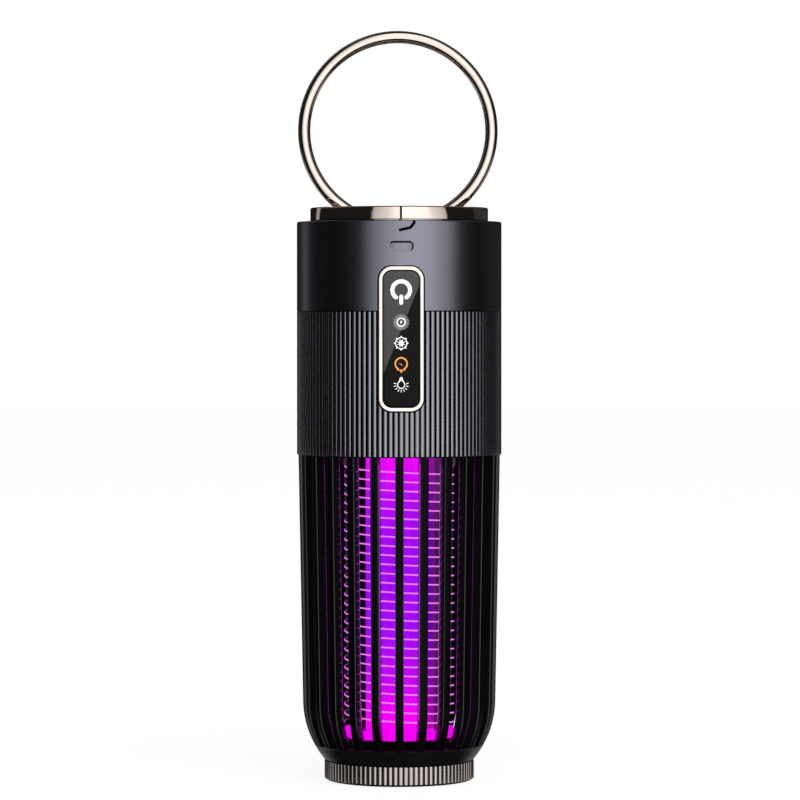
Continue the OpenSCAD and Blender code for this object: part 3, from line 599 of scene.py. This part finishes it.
deck = [(36.0, BODY_Z1), (30.0, BODY_Z1), (30.0, BODY_Z1 - 2), (LINER_R, BODY_Z1 - 2), (LINER_R, LINER_Z0)]
prof = np.concatenate([foot, wall, edge, deck])
collar = lathe(prof, angles, wobble=collar_cut)
o = Build().grid(collar, True, True).make("collar_shell", "housing", M_satin, sharp=60)
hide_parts("upper_shell")
co = np.array([v.co for v in o.data.vertices]) / MM
on_skin = np.hypot(co[:, 0], co[:, 1]) > SKIN_R
# the hook mark is painted black; the line at the foot of the collar, over its joint with the grip, is painted
# shade
groove = soft(hook_distance(co[:, 0], co[:, 2]) - 0.36, 0.16) * (co[:, 1] < FRONT_Y) * on_skin
foot_joint_shade = (co[:, 2] > COLLAR_Z0 - 0.1) & (co[:, 2] < COLLAR_Z0 + 0.2) & on_skin
darken(o, M_satin, np.maximum(groove, foot_joint_shade), "satin_collar_hook_paint_foot_shade", (0.002, 0.002, 0.003))

# ---------------------------------------------------------------- ribbed grip
RIBS = 120
rib_h = 0.8
TOP_END, WALL_END = 0.93, 1.06     # where a rib's crowned top ends and its wall meets the groove


def rib_profile(u, share, h, crown_share):
    """Height of a rib at u, 0..1 across one pitch: a crowned top and steep walls, with the middle at 0.5."""
    t = np.abs(u - 0.5) / (share / 2)
    crown = 1 - crown_share * t ** 2
    wall = np.clip((WALL_END - t) / (WALL_END - TOP_END), 0, 1) * (1 - crown_share * TOP_END ** 2)
    return h * np.where(t < TOP_END, crown, wall)


def rib_samples(share):
    """Places across one pitch: close together at the rib's two shoulders."""
    half = share / 2
    side = np.array([-WALL_END, -1.0, -TOP_END, -0.85, -0.7, -0.45, -0.2])
    return np.concatenate([[0.0], 0.5 + half * side, [0.5], 0.5 - half * side[::-1]])


def ribbed_rows(rows, heights, angles):
    """Rows (r, z, k) round the angles, with the ribs at k of their height."""
    grid = []
    for r, z, k in rows:
        r = r + heights * k
        grid.append(np.stack([r * np.cos(angles), r * np.sin(angles), np.full(len(angles), z)], -1))
    return np.array(grid)


def groove_shade_weight(o, root, h, z_lo, z_hi):
    """Weight of painted shade: 1 down in the grooves and at both ends, 0 on top of the ribs."""
    co = np.array([v.co for v in o.data.vertices]) / MM
    depth = np.clip(1.1 - (np.hypot(co[:, 0], co[:, 1]) - root) / (0.5 * h), 0, 1)
    return np.where((co[:, 2] < z_lo) | (co[:, 2] > z_hi), 1.0, depth)


GRIP_SHARE, GRIP_CROWN = 0.74, 0.25
u = rib_samples(GRIP_SHARE)
angles = (np.arange(RIBS)[:, None] + u[None, :] - 0.5).ravel() * TAU / RIBS
heights = np.tile(rib_profile(u, GRIP_SHARE, rib_h, GRIP_CROWN), RIBS)
root = BODY_R - rib_h
rows = [(root, GRIP_Z0, 0.45), (root, GRIP_Z0 + 0.1, 0.7), (root, GRIP_Z0 + 0.25, 0.9),
        (root, GRIP_Z0 + 0.5, 1.0)]
rows += [(root, z, 1.0) for z in np.linspace(GRIP_Z0 + 5, GRIP_Z1 - 5, 10)]
rows += [(root, GRIP_Z1 - 0.25, 1.0), (root, GRIP_Z1 - 0.08, 0.95), (root, GRIP_Z1, 0.85)]
inner_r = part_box("cage_top_ring")[1].x / MM + 0.2
rows += [(inner_r, GRIP_Z1, 0), (inner_r, GRIP_Z0, 0)]
sleeve = ribbed_rows(rows, heights, angles)
o = Build().grid(sleeve, True, True).make("grip_sleeve", "housing", M_grip, sharp=55)
# painted shade in the grip's grooves and at both its ends
weight = groove_shade_weight(o, root, rib_h, GRIP_Z0 + 0.4, GRIP_Z1 - 0.2)
darken(o, M_grip, weight, "ribbed_grip_groove_shade", (0.002, 0.002, 0.003))
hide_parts("ribbed_grip")

# ---------------------------------------------------------------- charging port's plug
PLUG_INSET = 0.9
PLUG_BOW = 0.0125      # follows the housing's curve
half_w, half_h = (PORT_W - PLUG_INSET) / 2, (PORT_H - PLUG_INSET) / 2
rows = []
PLUG_EDGE = [(0.0, -35.6), (0.0, -37.50), (0.08, -37.57), (0.25, -37.595), (0.6, -37.60), (1.1, -37.60)]
for inset, y in PLUG_EDGE:
    dx, dz = half_w - inset, half_h - inset
    pts = rounded([(port_x - dx, port_z - dz), (port_x + dx, port_z - dz),
                   (port_x + dx, port_z + dz), (port_x - dx, port_z + dz)],
                  [max(0.12, PORT_CORNER - inset)] * 4, 6)
    rows.append(np.stack([pts[:, 0], y + PLUG_BOW * pts[:, 0] ** 2, pts[:, 1]], -1))
b = Build().grid(np.array(rows), False, True, cap_v=True)
o = b.make("port_cover_plug", "port_cover", M_plug)
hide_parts("port_plug")

# ---------------------------------------------------------------- panel: bezel, lens and lit symbols
bw, bh = bez_hi.x - bez_lo.x, bez_hi.z - bez_lo.z
bx = (bez_lo.x + bez_hi.x) / 2


BEZEL_CORNER = 4.9


def loop(inset):
    """The panel's outline, moved in by inset."""
    w, h = bw / 2 - inset, bh / 2 - inset
    r = max(0.2, BEZEL_CORNER - inset)
    corners = [(bx - w, PANEL_Z - h), (bx + w, PANEL_Z - h), (bx + w, PANEL_Z + h), (bx - w, PANEL_Z + h)]
    return rounded(corners, [r] * 4, 14)


def loops(pairs):
    """Outlines for (inset, y) pairs, one row each."""
    return np.array([np.stack([p[:, 0], np.full(len(p), y), p[:, 1]], -1)
                     for p, y in ((loop(i), y) for i, y in pairs)])


front = bez_lo.y
rows = loops([(0.02, front + 3.2), (0.02, front + 0.45), (0.08, front + 0.2), (0.2, front + 0.05),
              (0.36, front), (1.3, front), (1.44, front + 0.05), (1.54, front + 0.18), (1.58, front + 0.4),
              (1.58, front + 3.2)])
o = Build().grid(rows, True, True).make("bezel_frame", "housing", M_bezel, sharp=50)
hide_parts("panel_bezel")

# painted shade: a thin black sheet in the shadow gap outside the bezel and another between the bezel and the
# lens
outer = [(0.1, front + 3.2), (-0.3, front + 3.2), (-0.34, front + 0.8), (-0.26, front + 0.62),
         (-0.1, front + 0.56), (0.1, front + 0.56)]
b = Build().grid(loops(outer), True, True)
inner = [(1.5, front + 2.5), (1.5, front + 0.52), (1.62, front + 0.44), (1.9, front + 0.44),
         (2.0, front + 0.52), (2.0, front + 2.5)]
b.grid(loops(inner), True, True)
o = b.make("bezel_shadow_gap", "housing", M_shadow_gap, sharp=50)

rows = loops([(1.86, lens_front + 1.4), (1.86, lens_front + 0.2), (1.9, lens_front + 0.06),
              (1.98, lens_front), (3.0, lens_front)])
o = Build().grid(rows, False, True, cap_v=True).make("lens_glass", "housing", M_lens, sharp=60)
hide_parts("panel_lens")


PRINT_LIFT, PRINT_SINK = 0.03, 0.02


def fan(angle):
    """Unit step at an angle in radians."""
    return np.array([math.cos(angle), math.sin(angle)])


class Print:
    """Flat lit symbols just in front of the lens, in mm from the symbol's centre."""

    def __init__(self, dz, material, name):
        self.b, self.dz, self.material, self.name = Build(), dz, material, name

    def outline(self, pts, y):
        """The symbol's points, placed on the panel at depth y."""
        return np.stack([pts[:, 0] + bx, np.full(len(pts), y), pts[:, 1] + PANEL_Z + self.dz], -1)

    def shape(self, pts):
        """Adds a filled outline with a thin edge."""
        pts = np.asarray(pts, float)
        face = self.outline(pts, lens_front - PRINT_LIFT)
        self.b.poly(face)
        self.b.grid(np.array([face, self.outline(pts, lens_front + PRINT_SINK)]), False, True)
        return self

    def line(self, a, b, w, steps=5):
        """Stroke with round ends."""
        a, b = np.array(a, float), np.array(b, float)
        t = math.atan2(*(b - a)[::-1])
        half_turn = np.linspace(-math.pi / 2, math.pi / 2, steps)
        pts = [b + w / 2 * fan(t + s) for s in half_turn] + [a - w / 2 * fan(t + s) for s in half_turn]
        return self.shape(pts)

    def arc(self, c, r, w, a0, a1, steps, ends=True):
        """Stroke of width w along an arc, degrees anticlockwise from +X."""
        t = np.radians(np.linspace(a0, a1, steps))
        mid = np.stack([np.cos(t), np.sin(t)], -1)
        outer = np.array(c) + mid * (r + w / 2)
        inner = np.array(c) + mid * (r - w / 2)
        pts = list(outer)
        if ends:
            e = np.array(c) + mid[-1] * r
            pts += [e + w / 2 * (math.cos(s) * mid[-1] + math.sin(s) * np.array([-mid[-1][1], mid[-1][0]]))
                    for s in np.linspace(0, math.pi, 7)[1:-1]]
        pts += list(inner[::-1])
        if ends:
            e = np.array(c) + mid[0] * r
            pts += [e + w / 2 * (-math.cos(s) * mid[0] + math.sin(s) * np.array([mid[0][1], -mid[0][0]]))
                    for s in np.linspace(0, math.pi, 7)[1:-1]]
        return self.shape(pts)

    def ring(self, c, r, w):
        """Full circle, as two half strokes."""
        return self.arc(c, r, w, 0, 180, 40, False).arc(c, r, w, 180, 360, 40, False)

    def disc(self, c, r, ry):
        """Filled ellipse."""
        around = np.linspace(0, TAU, 25)[:-1]
        return self.shape([(c[0] + r * math.cos(t), c[1] + ry * math.sin(t)) for t in around])

    def make(self):
        """Makes the symbol's piece."""
        o = self.b.make(self.name, "housing", self.material, sharp=30)
        return o


def polar(r, deg):
    """Point at a radius and an angle in degrees."""
    return (r * math.cos(math.radians(deg)), r * math.sin(math.radians(deg)))


KEYS = [17.7, 6.1, -1.5, -9.2, -16.2]
p = Print(KEYS[0], M_icon, "symbol_power")
p.arc((0, 0), 3.2, 1.45, -90 + 36, 270 - 36, 60)
p.line((0, -2.3), (0, -4.6), 1.4, 9).make()

p = Print(KEYS[1], M_icon_dim, "symbol_level_rays")
for k in range(30):
    d = 360 * k / 30
    p.line(polar(1.6, d), polar(2.95 if k % 2 else 2.8, d), 0.13, 3)
p.make()
Print(KEYS[1], M_icon, "symbol_level_core").ring((0, 0), 1.42, 0.42).disc((0, 0.05), 0.36, 0.55).make()

p = Print(KEYS[2], M_icon, "symbol_trap")
p.ring((0, 0), 2.05, 0.34)
for k in range(8):
    d = 360 * k / 8 + 90
    p.line(polar(2.1, d), polar(2.55, d), 0.34, 3)
p.disc((0, -0.05), 0.78, 0.95)
for k in range(8):
    d = 360 * k / 8 + 22.5
    p.line(polar(0.6, d), polar(1.45, d), 0.26, 3)
p.make()

p = Print(KEYS[3], M_icon_warm, "symbol_warm_lamp")
p.arc((0, 0.25), 2.15, 0.52, -58, 238, 60)
p.line((-0.95, -1.75), (-1.35, -2.05), 0.4).line((0.95, -1.75), (1.35, -2.05), 0.4)
p.line((-0.45, -2.15), (0.45, -2.15), 0.55).line((0, -2.2), (0, -2.75), 0.6)
p.line((-0.75, 0.35), (0.05, 0.1), 0.16, 3).line((0.05, 0.1), (0.3, -0.45), 0.2, 3).make()

p = Print(KEYS[4], M_icon, "symbol_bulb")
p.arc((0, -0.35), 1.3, 0.32, -238, 58, 44)
p.shape([(-0.95, 0.62), (-0.5, 2.0), (-0.42, 2.3), (-0.2, 2.45), (0.2, 2.45), (0.42, 2.3), (0.5, 2.0),
         (0.95, 0.62), (0.6, 0.78), (0.0, 1.15), (-0.6, 0.78)])
RAYS, FIRST_RAY, RAY_SPAN, BULB_Z = 9, 168, 204, -0.35
for k in range(RAYS):
    d = FIRST_RAY + RAY_SPAN / (RAYS - 1) * k
    inner, outer = polar(1.9, d), polar(2.65, d)
    p.line((inner[0], inner[1] + BULB_Z), (outer[0], outer[1] + BULB_Z), 0.27, 4)
p.make()

# ---------------------------------------------------------------- cage bars
FINS = 25
ARC_Z, ARC_R, RING_TOP = 30.0, 34.4, 13.5
low_r, top_r = 35.8, 37.45
fin_w, fin_d, FIN_PHASE = 3.1, 4.2, math.radians(-0.9)
FACE_COSINE, UNDER_COSINE = 0.94, -0.95    # which faces of a bar count as its front


def outline_r(z):
    """Outer radius of the cage: a slight taper over a rounded bottom."""
    if z >= ARC_Z:
        return low_r + (top_r - low_r) * (z - ARC_Z) / (fins_top - ARC_Z)
    return low_r - ARC_R + math.sqrt(ARC_R ** 2 - (ARC_Z - z) ** 2)


zs = np.concatenate([np.linspace(fins_top, ARC_Z, 12),
                     ARC_Z - np.linspace(0, 1, 15)[1:] ** 0.9 * (ARC_Z - RING_TOP + 1.2)])
edge_r, half_w = 0.45, fin_w / 2
section = [(-half_w, -fin_d + 0.5), (-half_w, -1.8)]
section += [(-half_w + edge_r - edge_r * math.cos(s), -edge_r + edge_r * math.sin(s) - 0.06)
            for s in np.linspace(0, math.pi / 2, 6)]
section += [(-0.6, -0.015), (0.0, 0.0), (0.6, -0.015)]
section += [(-x, y) for x, y in section[7:1:-1]] + [(half_w, -1.8), (half_w, -fin_d + 0.5)]
section += [(half_w - 0.15, -fin_d + 0.15), (half_w - 0.5, -fin_d), (-half_w + 0.5, -fin_d),
            (-half_w + 0.15, -fin_d + 0.15)]
b = Build()
for k in range(FINS):
    ang = -math.pi / 2 + FIN_PHASE + TAU * k / FINS
    d = np.array([math.cos(ang), math.sin(ang), 0])
    pts = np.array([outline_r(z) * d + np.array([0, 0, z]) for z in zs])
    slope = np.gradient(pts, axis=0)
    slope /= np.linalg.norm(slope, axis=1)[:, None]
    across = np.cross(d, [0, 0, 1])
    out = np.cross(slope, across)
    out *= np.sign((out @ d))[:, None]
    b.grid(tube_along(pts, out, section), False, True, cap_v=True)
o = b.make("cage_bars", "housing", M_cage, sharp=50)
o.data.materials.append(M_cage_face)
for f in o.data.polygons:
    outward = Vector(f.normal.xy).normalized() @ Vector(f.center.xy).normalized()
    if outward > FACE_COSINE and f.normal.z > UNDER_COSINE:
        f.material_index = 1
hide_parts("cage_fins")

# ---------------------------------------------------------------- grid wires
coil_r, wire_r, turns, lead, coil_z0 = 20.2, 0.27, 14, 6.8, 21.6
for name, node, start in (("coil_wire_a", "grid_wire_a", 0), ("coil_wire_b", "grid_wire_b", 180)):
    t = np.linspace(0, turns, turns * 56 + 1)
    ang = math.radians(start) - TAU * t
    pts = np.stack([coil_r * np.cos(ang), coil_r * np.sin(ang), coil_z0 + lead * t], -1)
    out = np.stack([np.cos(ang), np.sin(ang), 0 * ang], -1)
    b = Build().grid(tube_along(pts, out, circle(wire_r, 8)), False, True, cap_v=True)
    o = b.make(name, "housing", M_wire)
    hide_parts(node)

# ---------------------------------------------------------------- lure light's tube
tube_r = tube_hi.x
TUBE_WALL, TUBE_ROWS = 1.2, 30
prof = rounded([(tube_r - TUBE_WALL, tube_lo.z), (tube_r, tube_lo.z), (tube_r, tube_hi.z),
                (tube_r - TUBE_WALL, tube_hi.z)], [0.2, 0.4, 0.4, 0.2], 4)
mid = [(tube_r, z) for z in np.linspace(tube_lo.z + 2, tube_hi.z - 2, TUBE_ROWS)]
half = len(prof) // 2
prof = np.concatenate([prof[:half], mid, prof[half:]])
tube = lathe(prof, np.arange(128) * TAU / 128)
o = Build().grid(tube, True, True).make("lure_tube", "housing", M_tube)
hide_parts("light_tube")

# ---------------------------------------------------------------- knurled base
BASE_RIBS, KNURL_H = 88, 0.8
BASE_SHARE, BASE_CROWN = 0.82, 0.30
base_h, neck_r, neck_z1, bore_r = 7.8, 24.5, 12.7, 22.4
root_r = base_r - KNURL_H
core_r = root_r - 0.2
UNDER_Z, UNDER_R = 0.8, 20.5           # a shallow dish in the underside, inside the foot ring
u = rib_samples(BASE_SHARE)
angles = (np.arange(BASE_RIBS)[:, None] + u[None, :] - 0.5).ravel() * TAU / BASE_RIBS
heights = np.tile(rib_profile(u, BASE_SHARE, KNURL_H, BASE_CROWN), BASE_RIBS)
rows = [(0.001, UNDER_Z, 0), (UNDER_R, UNDER_Z, 0), (UNDER_R, 0.2, 0), (core_r - 0.4, 0.2, 0),
        (core_r - 0.1, 0.26, 0), (core_r, 0.4, 0), (root_r - 0.1, 0.6, 0.2), (root_r - 0.02, 0.72, 0.7),
        (root_r, 0.9, 0.95), (root_r, 1.1, 1.0), (root_r, 4.2, 1.0), (root_r, 7.25, 1.0),
        (root_r, 7.42, 0.95), (root_r, 7.54, 0.8), (root_r - 0.05, 7.61, 0.4), (root_r - 0.12, 7.66, 0),
        (core_r, base_h, 0),
        (26.5, base_h, 0), (26.5, 7.25, 0), (neck_r, 7.25, 0), (neck_r, neck_z1 - 0.2, 0),
        (neck_r - 0.2, neck_z1, 0), (bore_r + 0.2, neck_z1, 0), (bore_r, neck_z1 - 0.2, 0), (bore_r, 2.0, 0),
        (0.001, 2.0, 0)]
knurl = ribbed_rows(rows, heights, angles)
o = Build().grid(knurl, True, True).make("base_knurl", "base", M_knurl, sharp=55)
# painted shade in the knurl's grooves and at both ends of its ribs
weight = groove_shade_weight(o, root_r, KNURL_H, 0.7, 7.5)
darken(o, M_knurl, weight, "knurl_metal_groove_shade", (0.006, 0.005, 0.005))
o.data.materials.append(M_cage_ring)
for f in o.data.polygons:
    in_neck = f.center.xy.length < (neck_r + 0.1) * MM and f.center.z > 1.5 * MM
    if f.center.z > (base_h - 0.1) * MM or in_neck:
        f.material_index = 1
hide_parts("knurled_base")
LUGS, FIRST_LUG, LUG_HALF = 3, 30, 5
lug_r0, lug_r1, lug_z1 = neck_r - 0.4, neck_r + 1.3, base_h + 4.3
lug_z0 = lug_z1 - 1.4
lug = rounded([(lug_r0, lug_z0), (lug_r1, lug_z0), (lug_r1, lug_z1), (lug_r0, lug_z1)], [0, 0.25, 0.25, 0], 3)
b = Build()
for k in range(LUGS):
    arc = np.radians(np.linspace(-LUG_HALF, LUG_HALF, 9)) + math.radians(FIRST_LUG + 360 / LUGS * k)
    b.grid(lathe(lug, arc), False, True, cap_v=True)
o = b.make("base_lugs", "base", M_cage_face)

# ---------------------------------------------------------------- floor, light and camera
mesh = bpy.data.meshes.new("floor")
FLOOR_HALF, FLOOR_DROP = 6.0, -0.0002
corners = [(-1, -1), (1, -1), (1, 1), (-1, 1)]
mesh.from_pydata([(x * FLOOR_HALF, y * FLOOR_HALF, FLOOR_DROP) for x, y in corners], [], [(0, 1, 2, 3)])
M_floor = bpy.data.materials.new("pale_floor")
nt, nodes, links, bsdf = nodes_of(M_floor)
bsdf.inputs["Base Color"].default_value = (0.30, 0.30, 0.30, 1)
bsdf.inputs["Roughness"].default_value = 0.9
bsdf.inputs["Specular IOR Level"].default_value = 0.0
bsdf.inputs["Emission Color"].default_value = (1, 1, 1, 1)
bsdf.inputs["Emission Strength"].default_value = 0.90
# the camera sees the pale floor, bounced light meets a plain grey one, and reflections see none
plain = nodes.new("ShaderNodeBsdfDiffuse")
plain.inputs[0].default_value = (0.5, 0.5, 0.5, 1)
path = nodes.new("ShaderNodeLightPath")
mix = nodes.new("ShaderNodeMixShader")
links.new(path.outputs["Is Camera Ray"], mix.inputs[0])
links.new(plain.outputs[0], mix.inputs[1])
links.new(bsdf.outputs[0], mix.inputs[2])
links.new(mix.outputs[0], nodes["Material Output"].inputs[0])
mesh.materials.append(M_floor)
floor = bpy.data.objects.new("floor", mesh)
bpy.context.scene.collection.objects.link(floor)
floor.visible_glossy = False

AZ = math.radians(1.1)
CAM_D, CAM_Z, AIM_X, AIM_Z = 1.49, 0.1736, 0.0003, 0.1413
DIM, CAMERA_WHITE = 0.012, 1.02
world = bpy.data.worlds.new("studio")
bpy.context.scene.world = world
world.use_nodes = True
nt = world.node_tree
links = nt.links
background = nt.nodes["Background"]
direction = nt.nodes.new("ShaderNodeTexCoord").outputs["Generated"]
sep = nt.nodes.new("ShaderNodeSeparateXYZ")
links.new(direction, sep.inputs[0])
toward = math_node(nt, "MULTIPLY", sep.outputs[1], -1.0)
bearing = math_node(nt, "ADD", math_node(nt, "ARCTAN2", sep.outputs[0], toward), AZ)
bearing = math_node(nt, "ADD", math_node(nt, "MULTIPLY", bearing, 1 / TAU), 0.5)
height = math_node(nt, "MULTIPLY_ADD", sep.outputs[2], 0.5, 0.5)
# tall light cards round the object: brightness by bearing in degrees, 0 being behind the camera
CARDS = [(-180, .012), (-138, .012), (-136, .36), (-128, .36), (-126, .012), (-37, .012), (-33.5, .58),
         (-30, .66), (-15, .92), (-4, 1.28), (15, 1.48), (36, 1.34), (44, .96), (60, .66), (63, .58),
         (65.5, .012), (112, .012), (118, .036), (158, .036), (164, .012), (180, .012)]
# TALL fades the cards out at the foot and the top; BACK and BAND make a low glow behind the object
TALL = [(0.0, 0.0), (0.22, 0.0), (0.27, 1.0), (0.96, 1.0), (0.98, 0.02)]
BACK = [(0.0, 1), (0.20, 1), (0.24, 0), (0.76, 0), (0.80, 1), (1.0, 1)]
BAND = [(0.0, 0.0), (0.18, 0.0), (0.30, 0.30), (0.38, 0.22), (0.44, 0.0), (0.64, 0.0), (0.72, 0.05),
        (1.0, 0.03)]


def brightness(place, stops):
    """Grey ramp of (place, brightness) stops."""
    return ramp_node(nt, place, [(p, grey(v)) for p, v in stops])


cards = brightness(bearing, [((d + 180) / 360, v) for d, v in CARDS])
lit_cards = math_node(nt, "MULTIPLY", cards, brightness(height, TALL))
lit_band = math_node(nt, "MULTIPLY", brightness(bearing, BACK), brightness(height, BAND))
light = math_node(nt, "MAXIMUM", math_node(nt, "ADD", lit_cards, lit_band), DIM)
path = nt.nodes.new("ShaderNodeLightPath")
seen = math_node(nt, "MULTIPLY", path.outputs["Is Camera Ray"], CAMERA_WHITE)
links.new(math_node(nt, "MAXIMUM", light, seen), background.inputs["Strength"])
background.inputs["Color"].default_value = (1, 1, 1, 1)
world.cycles.sampling_method = "MANUAL"
world.cycles.sample_map_resolution = 1024

top = bpy.data.lights.new("overhead_softbox", "AREA")
top.shape, top.size, top.size_y, top.energy = "RECTANGLE", 1.2, 1.2, 3.0
top_o = bpy.data.objects.new("overhead_softbox", top)
top_o.location = (0.1, 0.5, 1.9)
top_o.rotation_mode = "QUATERNION"
top_o.rotation_quaternion = (Vector((0, 0, 0.15)) - top_o.location).to_track_quat("-Z", "Y")
top_o.visible_camera = False
top_o.visible_glossy = False
bpy.context.scene.collection.objects.link(top_o)

# the lure light's own glow on the cage and the wires
for k in range(4):
    turn = math.radians(45 + 90 * k)
    outward = Vector((math.cos(turn), math.sin(turn), 0))
    glow = bpy.data.lights.new(f"lure_glow_{k}", "AREA")
    glow.shape, glow.size, glow.size_y, glow.energy = "RECTANGLE", 0.009, 0.095, 0.008
    glow.color = (0.9, 0.2, 1.0)
    glow_o = bpy.data.objects.new(f"lure_glow_{k}", glow)
    glow_o.location = outward * (tube_r + 0.6) * MM + Vector((0, 0, 0.070))
    glow_o.rotation_mode = "QUATERNION"
    glow_o.rotation_quaternion = outward.to_track_quat("-Z", "Y")
    glow_o.visible_camera = False
    bpy.context.scene.collection.objects.link(glow_o)

cam = bpy.data.cameras.new("camera")
cam.lens, cam.sensor_width = 180.4, 36.0
cam.clip_start, cam.clip_end = 0.05, 50
cam_o = bpy.data.objects.new("camera", cam)
cam_o.location = (-CAM_D * math.sin(AZ), -CAM_D * math.cos(AZ), CAM_Z)
cam_o.rotation_mode = "QUATERNION"
cam_o.rotation_quaternion = (Vector((AIM_X, 0, AIM_Z)) - cam_o.location).to_track_quat("-Z", "Y")
bpy.context.scene.collection.objects.link(cam_o)
bpy.context.scene.camera = cam_o
bpy.context.scene.view_settings.view_transform = "Standard"
